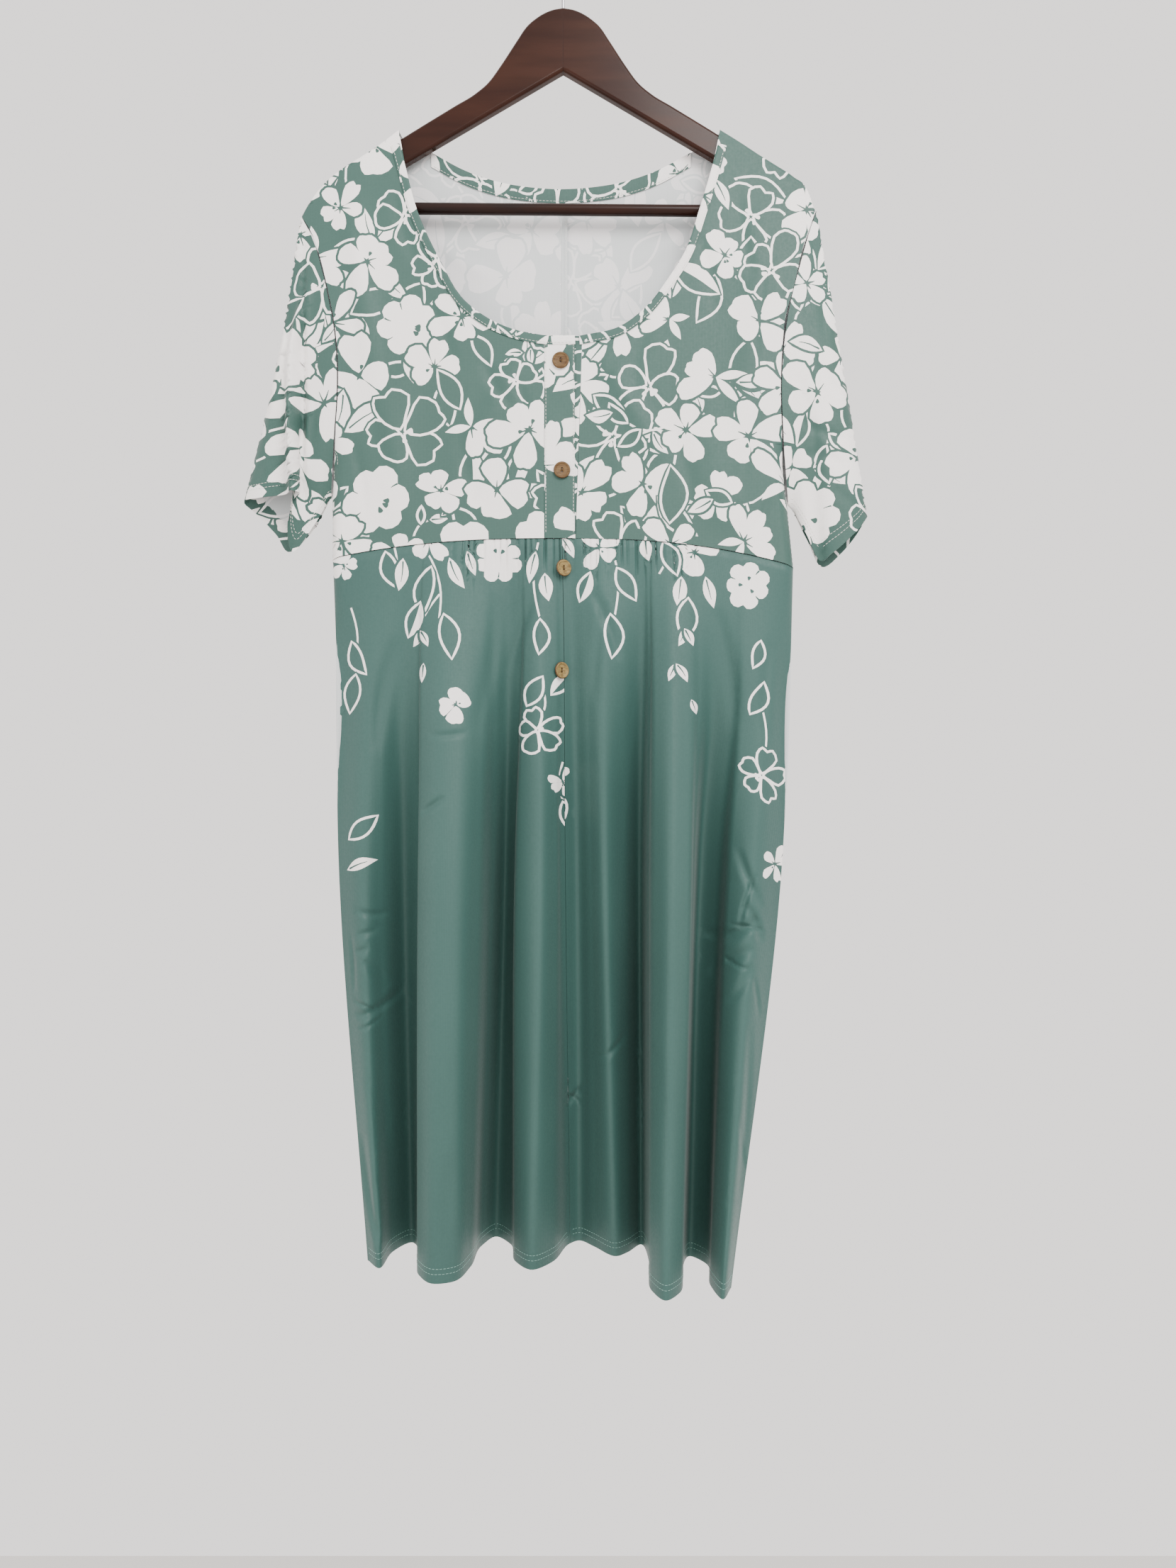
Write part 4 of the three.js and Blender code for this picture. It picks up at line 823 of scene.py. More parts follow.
def knitGroup():  # fine jersey: wales and courses, soft patches, small flecks, and painted shade in the knit's dips
    tree, entry, leave = nodeGroup(
        "jerseyKnit",
        [("Color", "NodeSocketColor", (0.5, 0.5, 0.5, 1)), ("Deep", "NodeSocketColor", (0.3, 0.3, 0.3, 1)),
         ("Patches", "NodeSocketFloat", 0.5), ("Rough", "NodeSocketFloat", 0.55)],
        [("Color", "NodeSocketColor"), ("Roughness", "NodeSocketFloat"), ("Height", "NodeSocketFloat")])
    uv = tree.nodes.new("ShaderNodeUVMap")
    uv.uv_map = "clothUv"
    place = tree.nodes.new("ShaderNodeTexCoord").outputs["Object"]
    scale = 2 * math.pi / (20 * looks["knitPitch"])
    wales = textureNode(tree, "ShaderNodeTexWave", uv.outputs[0], scale, bands_direction="X", Distortion=0.0)
    courses = textureNode(tree, "ShaderNodeTexWave", uv.outputs[0], scale * 1.4, bands_direction="Y", Distortion=0.0)
    soft = textureNode(tree, "ShaderNodeTexNoise", place, 7.0, Detail=2.0)
    fine = textureNode(tree, "ShaderNodeTexNoise", place, 420.0, Detail=1.0)
    height = mathNode(tree, "ADD", mathNode(tree, "MULTIPLY", wales, 0.65), mathNode(tree, "MULTIPLY", courses, 0.35))
    patches = mathNode(tree, "MULTIPLY", mathNode(tree, "SUBTRACT", soft, 0.35), entry.outputs["Patches"])
    flecks = mathNode(tree, "MULTIPLY", mathNode(tree, "SUBTRACT", fine, 0.4), 0.35)
    # painted shade: the colour darkens towards Deep where the knit's relief is low
    paintedDipShade = mathNode(tree, "MULTIPLY", mathNode(tree, "SUBTRACT", 1.0, height), 0.16)
    share = mathNode(tree, "ADD", mathNode(tree, "ADD", patches, flecks), paintedDipShade)
    tree.links.new(colourMix(tree, share, entry.outputs["Color"], entry.outputs["Deep"]), leave.inputs["Color"])
    rough = mathNode(tree, "ADD", entry.outputs["Rough"],
                     mathNode(tree, "MULTIPLY", mathNode(tree, "SUBTRACT", fine, 0.5), 0.2))
    tree.links.new(rough, leave.inputs["Roughness"])
    tree.links.new(height, leave.inputs["Height"])
    return tree


def woodGroup():  # lacquered or turned wood with the grain along X
    tree, entry, leave = nodeGroup(
        "woodGrain",
        [("Color", "NodeSocketColor", (0.2, 0.1, 0.05, 1)), ("Light", "NodeSocketColor", (0.3, 0.2, 0.1, 1)),
         ("Grain", "NodeSocketFloat", 60.0), ("Rough", "NodeSocketFloat", 0.3), ("Joint", "NodeSocketFloat", 0.0)],
        [("Color", "NodeSocketColor"), ("Roughness", "NodeSocketFloat"), ("Height", "NodeSocketFloat")])
    place = tree.nodes.new("ShaderNodeTexCoord").outputs["Object"]
    stretch = tree.nodes.new("ShaderNodeMapping")
    stretch.inputs["Scale"].default_value = (0.12, 1.0, 1.0)
    tree.links.new(place, stretch.inputs["Vector"])
    grain = tree.nodes.new("ShaderNodeTexNoise")
    grain.inputs["Detail"].default_value = 5.0
    tree.links.new(entry.outputs["Grain"], grain.inputs["Scale"])
    tree.links.new(stretch.outputs[0], grain.inputs["Vector"])
    ramp = tree.nodes.new("ShaderNodeMapRange")
    ramp.inputs["From Min"].default_value = 0.4
    ramp.inputs["From Max"].default_value = 0.68
    tree.links.new(grain.outputs["Fac"], ramp.inputs["Value"])
    split = tree.nodes.new("ShaderNodeSeparateXYZ")
    tree.links.new(place, split.inputs[0])
    thinLine = mathNode(tree, "LESS_THAN", mathNode(tree, "ABSOLUTE", split.outputs["X"]), 0.00035)
    joint = mathNode(tree, "MULTIPLY", thinLine, entry.outputs["Joint"])
    wood = colourMix(tree, ramp.outputs[0], entry.outputs["Color"], entry.outputs["Light"])
    tree.links.new(colourMix(tree, joint, wood, entry.outputs["Color"]), leave.inputs["Color"])
    rough = mathNode(tree, "ADD", entry.outputs["Rough"], mathNode(tree, "MULTIPLY", grain.outputs["Fac"], 0.1))
    tree.links.new(rough, leave.inputs["Roughness"])
    tree.links.new(mathNode(tree, "SUBTRACT", grain.outputs["Fac"], joint), leave.inputs["Height"])
    return tree


jerseyKnit, woodGrain = knitGroup(), woodGroup()


def newMaterial(name, group, values, bump, **sockets):
    material = bpy.data.materials.new(name)
    material.use_nodes = True
    tree = material.node_tree
    shader = tree.nodes["Principled BSDF"]
    effect = tree.nodes.new("ShaderNodeGroup")
    effect.node_tree = group
    for label, value in values.items():
        effect.inputs[label].default_value = value
    tree.links.new(effect.outputs["Color"], shader.inputs["Base Color"])
    tree.links.new(effect.outputs["Roughness"], shader.inputs["Roughness"])
    relief = tree.nodes.new("ShaderNodeBump")
    relief.inputs["Strength"].default_value = bump[0]
    relief.inputs["Distance"].default_value = bump[1]
    tree.links.new(effect.outputs["Height"], relief.inputs["Height"])
    tree.links.new(relief.outputs[0], shader.inputs["Normal"])
    for label, value in sockets.items():
        shader.inputs[label.replace("_", " ")].default_value = value
    return material


def cloth(name, colour, deep, patches, rough=0.52):
    values = {"Color": rgba(colour), "Deep": rgba(deep), "Patches": patches, "Rough": rough}
    return newMaterial(name, jerseyKnit, values, (0.5, looks["knitRelief"]), Sheen_Weight=0.12,
                       Sheen_Roughness=0.35, Specular_IOR_Level=0.32)


# each list holds the ground, the motifs, and both as the inside shows them
bodiceCloth = [cloth("printedGround", "bodiceGround", "bodiceDeep", 0.5),
               cloth("printedWhite", "white", "whiteDeep", 0.25, 0.58),
               cloth("insideGround", "insideGround", "insideGround", 0.2, 0.7),
               cloth("insideMotif", "insideWhite", "insideWhite", 0.2, 0.7)]
skirtCloth = [cloth("skirtGround", "skirtGround", "skirtDeep", 0.8), *bodiceCloth[1:]]
threadGreen = cloth("greenThread", "thread", "thread", 0.2, 0.6)
threadPale = cloth("paleThread", "paleThread", "paleThread", 0.2, 0.6)
buttonThread = cloth("buttonThread", "buttonDark", "buttonDark", 0.2, 0.6)
lacquer = newMaterial("redBrownLacquer", woodGrain,
                      {"Color": rgba("lacquer"), "Light": rgba("lacquerLight"), "Grain": 70.0, "Rough": 0.2,
                       "Joint": 1.0},
                      (0.1, 0.0001), Coat_Weight=0.05, Coat_Roughness=0.15, Specular_IOR_Level=0.16)
barWood = newMaterial("darkBarLacquer", woodGrain,
                      {"Color": rgba("barLacquer"), "Light": rgba("lacquer"), "Grain": 90.0, "Rough": 0.25},
                      (0.1, 0.0001), Coat_Weight=0.05, Coat_Roughness=0.18, Specular_IOR_Level=0.16)
buttonWoods = [newMaterial(name, woodGrain, {"Color": rgba(main), "Light": rgba(dark), "Grain": 620.0, "Rough": 0.45},
                           (0.35, 0.0002), Specular_IOR_Level=0.25)
               # the second wood is the first painted paler, a painted reflection on the lower buttons
               for name, main, dark in (("brownButton", "button", "buttonDark"),
                                        ("buttonWithPaintedReflection", "buttonPaintedReflection", "buttonPaintedReflectionGrain"),
                                        # the third wood is a painted shade round each button's rim
                                        ("buttonRimShade", "buttonDark", "button"))]
steelWire = newMaterial("steelWire", woodGrain,
                        {"Color": (0.6, 0.6, 0.62, 1), "Light": (0.5, 0.5, 0.52, 1), "Grain": 300.0, "Rough": 0.18},
                        (0.05, 0.0001), Metallic=1.0)
print("materials made")

# bodice
rowsNear = [0, 0.004, 0.009, 0.015, 0.023, 0.034, 0.05]
bodiceUs = np.concatenate([np.linspace(0, 0.93, 46), [0.945, 0.957, 0.968, 0.977, 0.985, 0.991, 0.996, 1]])


def bodiceRows(share):
    vs = rowsNear + list(np.linspace(0.07, share, 22)) + list(np.linspace(share + 0.015, 0.8, 24)) \
        + list(np.linspace(0.815, 1, 14))
    return [(v, bodiceUs) for v in sorted(vs)]


def mirroredLine(points):
    return points * [-1, 1]


backNeckRight = neckLineBack.copy()
backNeckRight[0] = (145.5, -173)
backNeckRight[-1] = (halfGap, -217)
backNeckLeft = mirroredLine(backNeckRight)
backNeckLeft[0] = (-147.5, -173)

# name, left, neck line and its share of the inner edge, foot of that edge, surface, layer, seed, creases
for name, left, neck, share, edgeLow, yOf, layer, seed, creases in (
        ("bodice_front_left", True, neckLineLeft, 0.52, dress["placketLeft"], frontY, -1, 11, frontCreases),
        ("bodice_front_right", False, neckLineRight, 0.52, dress["placketRight"] + dress["underLow"],
         frontRightY, -1, 23, frontCreases),
        ("bodice_back_left", True, backNeckLeft, 0.3, -halfGap, backY, 1, 35, backCreases),
        ("bodice_back_right", False, backNeckRight, 0.3, halfGap, backY, 1, 41, backCreases)):
    points, _, border = gridPoints(bodiceFlat(left, neck, share, edgeLow), bodiceRows(share))
    clothShell(name + "_cloth", [name], points, border, heightSurface(yOf, layer),
               densePrint(points, seed), bodiceCloth, layer=layer, fine=creasePoints(creases))

# button band, the band under it, the neck binding and the facing inside the back neck
trims = {"bandRise": 0.4, "bandInset": 0.3, "bindingWidth": 8, "bindingRise": 0.9, "neckMiddle": -150,
         "facingHeight": 13, "facingIn": 1.8, "thickness": 0.5}


bandLeft, bandRight = dress["placketLeft"] + trims["bandInset"], dress["placketRight"]


def bandGrid(leftTop, leftLow, rightTop, rightLow):
    def flat(u, v):
        x = mix(mix(leftTop, leftLow, v), mix(rightTop, rightLow, v), u)
        return np.stack([x, mix(dress["neckFront"], seamZ(x) + halfGap, v)])
    us = [0, 0.02, 0.05, 0.1] + list(np.linspace(0.2, 0.8, 5)) + [0.9, 0.95, 0.98, 1]
    return gridPoints(flat, [(v, us) for v in np.linspace(0, 1, 40)])


def bandY(x, z):  # the folded band's edges are soft
    inward = np.minimum(x - bandLeft, bandRight - x)
    wave = 0.25 * np.sin(z * 0.11) * np.sin(z * 0.043 + x * 0.1)
    return frontY(x, z) - trims["bandRise"] * ease(-0.2, 1.3, inward) + wave * ease(1, 6, inward)


def underY(x, z):
    return frontY(x, z) + dress["placketStep"]


points, _, border = bandGrid(bandLeft, bandLeft, bandRight, bandRight)
clothShell("placket_cloth", ["placket"], points, border, heightSurface(bandY, -1),
           densePrint(points, 57), bodiceCloth)
underRight = bandRight - trims["bandInset"]
points, _, border = bandGrid(-8, -8, underRight + dress["underTop"], underRight + dress["underLow"])
clothShell("placket_under_cloth", ["placket_under"], points, border, heightSurface(underY, -1),
           densePrint(points, 63), bodiceCloth)


def bindingPoint(line, yOf):  # a strip over the neck's edge: s along it and w across it
    edge = lineThrough(line)
    length = np.linalg.norm(np.diff(edge(np.linspace(0, 1, 200)), axis=1), axis=0).sum()

    def pointOf(p):
        u, v = np.clip(p[:, 0] / length, 0, 1), p[:, 1] / trims["bindingWidth"]
        x, z = edge(u)
        away = np.stack([x, z - trims["neckMiddle"]])
        x, z = np.stack([x, z]) + away / np.hypot(*away) * p[:, 1]
        rolled = np.sqrt(np.clip(1 - (1 - np.clip(v / 0.22, 0, 1)) ** 2, 0, 1))
        lie = 0.55 + trims["bindingRise"] * rolled - 0.5 * ease(0.72, 1.0, v)
        return np.stack([x, yOf(x, z) - lie, z], 1)
    return pointOf, length


bindingLeftLine = np.concatenate([[(-146, -189)], neckLineLeft[1:], [(13, -365)]])
bindingRightLine = np.concatenate([[(143, -189)], neckLineRight[1:-1], [(17, -365)]])
bindingFaces = {}
for name, line, yOf, facing, seed in (("neck_binding_left", bindingLeftLine, frontY, -1, 71),
                                      ("neck_binding_right", bindingRightLine, frontRightY, 1, 83)):
    pointOf, length = bindingPoint(line, yOf)
    widths = np.array([0, 0.03, 0.08, 0.15, 0.25, 0.4, 0.55, 0.7, 0.8, 0.9, 1]) * trims["bindingWidth"]
    flat = lambda u, v: np.stack([u * length, v])
    points, _, border = gridPoints(flat, [(w, np.linspace(0, 1, 150)) for w in widths])
    bindingFaces[name] = crossSurface(pointOf, facing, 0.2), length
    clothShell(name + "_cloth", [name], points, border, bindingFaces[name][0],
               densePrint(points, seed, 40), bodiceCloth, thickness=trims["thickness"])

facingLine = lineThrough(np.concatenate([mirroredLine(neckLineBack[1:]), neckLineBack[1:-1][::-1]]))
facingLength = np.linalg.norm(np.diff(facingLine(np.linspace(0, 1, 200)), axis=1), axis=0).sum()


def facingPoint(p):
    x, z = facingLine(np.clip(p[:, 0] / facingLength, 0, 1))
    z = z + p[:, 1]
    v = -p[:, 1] / trims["facingHeight"]
    puff = 0.35 * np.sin(np.pi * np.clip(v, 0, 1)) ** 0.7
    return np.stack([x, backY(x, z) - trims["facingIn"] - puff, z], 1)


points, _, border = gridPoints(lambda u, v: np.stack([u * facingLength, v * -trims["facingHeight"]]),
                                   [(v, np.linspace(0, 1, 90)) for v in np.linspace(0, 1, 8)])
clothShell("neck_facing_back_cloth", ["neck_facing_back"], points, border, crossSurface(facingPoint, 1),
           densePrint(points, 91, 40), bodiceCloth, thickness=trims["thickness"])

# overlocked allowance of the centre-back seam, inside
allowance = {"width": 5.4, "top": -231, "length": 308}


def allowancePoint(p):
    x, z = 0.5 + p[:, 0], allowance["top"] + p[:, 1]
    lift = 0.5 + 1.1 * ease(0.5, 4.5, p[:, 0]) + 0.3 * np.sin(z * 0.045) * p[:, 0] / allowance["width"]
    return np.stack([x, backY(x, z) - dress["thickness"] - lift, z], 1)


points, _, border = gridPoints(lambda u, v: np.stack([u * allowance["width"], v * -allowance["length"]]),
                                   [(v, np.linspace(0, 1, 8)) for v in np.linspace(0, 1, 90)])
clothShell("back_seam_allowance", [], points, border, crossSurface(allowancePoint, 1), [], [bodiceCloth[2]] * 4,
           thickness=trims["thickness"])

# skirt
skirt = {"gatherPitch": 6.8, "gatherHeight": 1.5, "gatherLeft": -97, "gatherRight": 127, "hemTurn": 13,
         "hemStitch": (8, 12.5), "tuck": 1.3, "creaseDepth": 3.0, "fall": 652}

# creases of the skirt, with the same columns as the bodice's
skirtFrontCreases = [
    (-122.7, -795.5, -101.6, -781.2, 4, 0.9, 1), (-116, -727, -81, -724, 4, 0.5, 1.5),
    (-183, -884, -157, -888, 4, 0.8, 1.5), (-183, -907, -165, -903, 4, 0.7, -1),
    (-186, -921, -172, -917, 4, 0.6, 1), (-184, -979, -148, -961, 5, 1.4, 3), (-176, -928, -158, -957, 5, 1.2, -2),
    (-177, -1082, -156, -1190, 5, 1.5, 4), (-170, -1030, -160, -1100, 6, 1.0, -3),
    (33, -1024, 60, -1001, 4, 0.6, 1.5),
    (4, -1058, 17, -1070, 3.5, 0.9, 1), (17, -1056, 3, -1071, 3.5, 0.8, -1), (6, -1050, 8, -1078, 3, 0.6, 0),
    (160, -826, 181, -882, 5, 1.1, 2), (166, -877, 181, -914, 5, 1.1, -2), (135, -912, 178, -889, 6, 1.5, 3),
    (139, -946, 172, -915, 6, 1.2, -3), (150, -965, 170, -930, 5, 0.9, 2), (168, -979, 156, -1136, 5, 1.3, -3),
    (-150, -640, -166, -740, 8, 1.1, 4), (-60, -600, -74, -720, 7, 0.9, -4), (40, -605, 32, -700, 6, 0.8, 3),
    (-20, -592, -44, -668, 6, 0.9, 3), (26, -590, 52, -660, 6, 0.9, -3), (140, -610, 158, -720, 8, 1.0, -4),
    (-92, -1090, -96, -1180, 9, 0.5, 3), (84, -1000, 90, -1110, 8, 0.4, -3), (190, -640, 186, -730, 6, 0.7, 3),
    (-186, -966, -166, -975, 2.6, 0.7, -2), (-181, -990, -160, -978, 2.6, 0.6, 2),
    (-190, -905, -186, -960, 3, 0.7, -1),
    (176, -850, 160, -900, 3, 0.8, 2), (146, -924, 168, -934, 2.8, 0.7, 2), (150, -896, 184, -902, 2.8, 0.6, -1.5),
    (172, -940, 178, -980, 3, 0.7, -1), (158, -1060, 166, -1120, 3, 0.6, 1.5), (-166, -1120, -162, -1180, 3, 0.7, -2)]
skirtBackCreases = [
    (-170, -650, -150, -760, 8, 1.2, 4), (-100, -600, -84, -720, 7, 1.0, -4), (-30, -620, -44, -700, 7, 0.9, 3),
    (50, -600, 66, -710, 8, 1.0, -3), (130, -620, 112, -730, 8, 1.1, 4), (-176, -900, -140, -880, 5, 1.2, 2),
    (-172, -940, -146, -965, 5, 1.1, -2), (-60, -860, -34, -838, 5, 0.7, 2), (20, -980, 48, -960, 5, 0.8, -2),
    (150, -880, 172, -915, 5, 1.2, 3), (140, -950, 168, -930, 5, 1.1, -3), (-150, -1060, -140, -1170, 7, 1.2, 4),
    (150, -1030, 140, -1150, 6, 1.2, -4), (-20, -1070, 4, -1088, 5, 0.8, 2), (60, -1080, 66, -1170, 8, 0.8, 3)]


def gather(x, below):
    inside = ease(skirt["gatherLeft"] - 6, skirt["gatherLeft"] + 8, x) \
        * (1 - ease(skirt["gatherRight"] - 8, skirt["gatherRight"] + 6, x))
    sway = 0.8 * np.sin(x * 0.23) + 0.6 * np.sin(x * 0.071 + 1)
    reach = 44 + 14 * np.sin(x * 0.17 + 2)
    height = skirt["gatherHeight"] * ease(-6, 5, below) * (1 - ease(7, reach, below))
    turn = np.pi * x / skirt["gatherPitch"] + sway
    uneven = 0.8 + 0.3 * np.sin(x * 0.37 + 0.5)
    return height * inside * uneven * (0.55 - 1.7 * np.exp(-(np.sin(turn) / 0.38) ** 2))


def skirtPanel(rows, layer, creases):
    knots = knotsOf(rows[:, 3:7])
    width = np.linalg.norm(np.diff(rows[:, [3, 4]], axis=0), axis=1).sum()

    def flatPoint(u, t):  # without gathers
        seamX, hipX, hipY, midX, midY, hemX, hemY = [curveAt(knots, rows[:, i], u) for i in range(7)]
        seamY = layer * (bodiceStand(seamX, seamZ(seamX)) + halfGap)
        x = curveAt(skirtLevels, [seamX, hipX, midX, hemX], t)
        shift = layer * halfGap
        y = curveAt(skirtLevels, [seamY, hipY + shift, midY + shift, hemY + shift], t)
        top = seamZ(seamX) - dress["seamGap"]
        return x, y, mix(top, hemZ(x), t), seamX, top

    def pointOf(p):
        x, y, z, seamX, top = flatPoint(p[:, 0] / width, -p[:, 1] / skirt["fall"])
        tuck = skirt["tuck"] * (1 - ease(0, 5, top - z)) * ease(5, 12, np.abs(y))
        y = y + layer * (gather(seamX, top - z) + skirt["creaseDepth"] * creaseSum(creases, x, z) - tuck)
        return np.stack([x, y, z], 1)
    return pointOf, flatPoint, knots, width


frontPoint, frontFlat, frontKnots, frontWidth = skirtPanel(skirtFront, -1, skirtFrontCreases)
backPoint, backFlat, _, backWidth = skirtPanel(skirtBack, 1, skirtBackCreases)


def seenRows(flatPoint):  # x across the skirt at many levels, as seen from the front
    us = np.linspace(0, 1, 300)
    levels = np.linspace(-0.1, 1.02, 113)
    rows = [np.maximum.accumulate(flatPoint(us, np.full(len(us), t))[0]) for t in levels]
    return us, levels, np.array(rows)


def onCloth(seen, width, loop):  # a loop of x, z as seen, laid on the skirt's own cloth
    us, levels, rows = seen
    top = seamZ(loop[:, 0]) - dress["seamGap"]
    t = (top - loop[:, 1]) / (top - hemZ(loop[:, 0]))
    level = np.clip((t - levels[0]) / (levels[1] - levels[0]), 0, len(levels) - 1.001)
    k = level.astype(int)
    share = (level - k)[:, None]
    across = rows[k] * (1 - share) + rows[k + 1] * share
    found = [np.interp(x, row, us) for x, row in zip(loop[:, 0], across)]
    return np.stack([np.array(found) * width, -t * skirt["fall"]], 1)


# print of the skirt: kind, x, z, size, angle in degrees
frontSprays = [
    ("flower", -120, -548, 24, 20), ("blossom", -56, -566, 22, 0), ("flower", 42, -566, 19, 50),
    ("flower", 128, -570, 22, 10), ("blossom", 176, -600, 21, 0), ("flower", -196, -572, 14, 0),
    ("lineLeaf", -158, -560, 34, -70), ("leaf", -142, -566, 30, -100), ("lineLeaf", -116, -574, 46, -95),
    ("leaf", -100, -566, 32, -60), ("lineLeaf", -104, -618, 42, -80), ("halfLeaf", -126, -606, 34, -110),
    ("leaf", -84, -560, 24, -70), ("leaf", -22, -560, 30, -100), ("leaf", -14, -580, 26, -80),
    ("lineLeaf", -18, -622, 32, -95), ("lineLeaf", -30, -700, 30, 60), ("leaf", 8, -556, 22, -60),
    ("lineLeaf", 58, -584, 34, -60), ("lineLeaf", 52, -626, 40, -92), ("halfLeaf", 34, -588, 28, -110),
    ("leaf", 84, -556, 22, -80), ("lineLeaf", 100, -560, 34, -70), ("leaf", 116, -592, 30, -95),
    ("leaf", 138, -592, 30, -75), ("lineLeaf", 122, -612, 40, -100), ("leafPair", 118, -640, 20, -90),
    ("leafPair", 110, -672, 20, -90), ("leafPair", -126, -632, 18, -90), ("leaf", -122, -662, 18, -95),
    ("flower", -92, -700, 15, 15), ("lineFlower", -20, -722, 20, 30), ("halfLeaf", -8, -690, 26, 50),
    ("flower", 2, -768, 13, 80), ("lineLeaf", 2, -786, 28, -75), ("lineLeaf", -190, -640, 34, -60),
    ("lineLeaf", -186, -670, 36, -100), ("lineLeaf", 188, -650, 26, -110), ("lineFlower", 188, -770, 22, 10),
    ("lineLeaf", 178, -716, 32, 70), ("leaf", 124, -704, 14, -70), ("lineLeaf", -192, -820, 34, 40),
    ("leaf", -194, -848, 30, 15), ("flower", 202, -850, 16, 0)]
backSprays = [
    ("flower", 130, -552, 24, 30), ("blossom", 66, -568, 22, 0), ("flower", -38, -562, 20, 10),
    ("flower", -124, -574, 22, 70), ("lineFlower", 186, -590, 20, 0), ("lineLeaf", 150, -566, 36, -80),
    ("leaf", 110, -568, 30, -110), ("lineLeaf", 98, -600, 44, -90), ("leaf", 40, -560, 28, -70),
    ("lineLeaf", 22, -572, 40, -100), ("leaf", -8, -560, 26, -80), ("lineLeaf", -60, -570, 40, -95),
    ("leaf", -80, -560, 30, -70), ("halfLeaf", -104, -590, 34, -100), ("leaf", -150, -570, 28, -80),
    ("lineLeaf", -178, -600, 36, -90), ("leafPair", 84, -640, 20, -90), ("leafPair", -56, -630, 18, -90),
    ("flower", 28, -690, 16, 20), ("lineFlower", -88, -704, 20, 0), ("lineLeaf", -70, -676, 28, 70),
    ("leaf", 140, -660, 20, -90), ("lineLeaf", 150, -740, 30, 60), ("flower", -10, -770, 13, 0)]


# thin stems that the hanging leaves grow from: x, z, x, z, bow
frontStems = [(-120, -560, -108, -622, 6), (-108, -600, -128, -640, -4), (-150, -556, -156, -590, 5),
              (-20, -552, -18, -622, -5), (50, -556, 56, -628, 6), (118, -560, 122, -640, -6),
              (104, -556, 96, -590, 4), (-14, -690, -22, -716, 4), (2, -750, 4, -790, -4),
              (186, -700, 190, -760, 5), (-190, -610, -188, -664, 5)]
backStems = [(130, -560, 150, -600, 5), (100, -556, 96, -630, -5), (24, -556, 20, -600, 4), (-58, -560, -60, -630, 5),
             (-104, -570, -106, -610, -4), (-70, -650, -84, -700, 4), (30, -650, 28, -690, -3)]


def finePoints(creases, seen, width):
    points = onCloth(seen, width, creasePoints(creases))
    return points[(points[:, 0] > 2) & (points[:, 0] < width - 2) & (points[:, 1] > 4 - skirt["fall"])]


def sprays(table, stems, seen, width, seed, shift=(0, 0)):
    rng = random.Random(seed)
    made = []
    for x1, z1, x2, z2, bow in stems:
        a = np.linspace(0, 1, 9)
        line = np.stack([mix(x1, x2, a) + bow * np.sin(np.pi * a), mix(z1, z2, a)], 1) + shift
        made.append((1, onCloth(seen, width, strokeLoop(line, printing["line"] * 0.8))))
    for kind, x, z, r, angle in table:
        for paint, loop in placed(kind, x + shift[0], z + shift[1], r, math.radians(angle), rng):
            made.append((paint, onCloth(seen, width, loop)))
    return made


def skirtGrid(start, end, width, fine, coarse):
    turn = 1 - skirt["hemTurn"] / skirt["fall"]
    high = [0, 0.006, 0.012, 0.019, 0.027, 0.036, 0.046, 0.057, 0.07, 0.084]
    low = list(np.linspace(0.1, turn, 50)) + [1 - 0.5 * (1 - turn), 1]
    flat = lambda u, v: np.stack([mix(start, end, u) * width, -v * skirt["fall"]])
    points, index, border = gridPoints(flat, [(v, np.linspace(0, 1, fine)) for v in high]
                                       + [(v, np.linspace(0, 1, coarse)) for v in low])
    return points, border, [index[-3]]


frontSeen, backSeen = seenRows(frontFlat), seenRows(backFlat)
middle = frontKnots[centreRow]
hairline = 0.35 / frontWidth


def withHem(surface):  # adds how far each point is from the hem's edge
    return lambda p: (*surface(p), p[:, 1] + skirt["fall"])


for name, start, end, seed, shift in (("skirt_front_left", 0, middle - hairline, 5, (0, 0)),
                                      ("skirt_front_right", middle + hairline, 1, 5, (-7, 9))):
    points, border, lines = skirtGrid(start, end, frontWidth, 220, 120)
    clothShell(name + "_cloth", [name], points, border, withHem(crossSurface(frontPoint, 1)),
               sprays(frontSprays, frontStems, frontSeen, frontWidth, seed, shift), skirtCloth, lines,
               turnUp=skirt["hemTurn"], fine=finePoints(skirtFrontCreases, frontSeen, frontWidth))
points, border, lines = skirtGrid(0, 1, backWidth, 360, 220)
clothShell("skirt_back_cloth", ["skirt_back"], points, border, withHem(crossSurface(backPoint, -1)),
           sprays(backSprays, backStems, backSeen, backWidth, 9), skirtCloth, lines,
           turnUp=skirt["hemTurn"], fine=finePoints(skirtBackCreases, backSeen, backWidth))

# sleeves
sleeve = {"cuffTurn": 13, "clear": 1.38, "headDepth": 45, "columns": 130, "rows": 34, "cuffStitch": (8.5, 12.5)}
sleeveCreases = [
    (-234, -300, -246, -372, 6, 1.4, 3), (-268, -430, -240, -470, 6, 1.3, -3), (-262, -380, -232, -430, 6, 1.2, 3),
    (-222, -400, -230, -480, 5, 1.0, -3), (-280, -500, -262, -450, 5, 0.9, 2),
    (-240.5, -330, -243, -524, 5.5, -4.6, 0), (-233, -270, -234, -516, 3.2, 3.8, 0),
    (-249, -380, -251, -508, 4, 1.6, 0),
    (228, -290, 240, -366, 6, 1.4, -3), (214, -436, 262, -458, 6, 1.3, 4), (220, -470, 264, -486, 6, 1.0, -4),
    (232, -380, 256, -420, 6, 1.2, 3), (216, -400, 236, -500, 5, 0.9, -3), (250, -500, 272, -520, 5, 0.8, 2)]


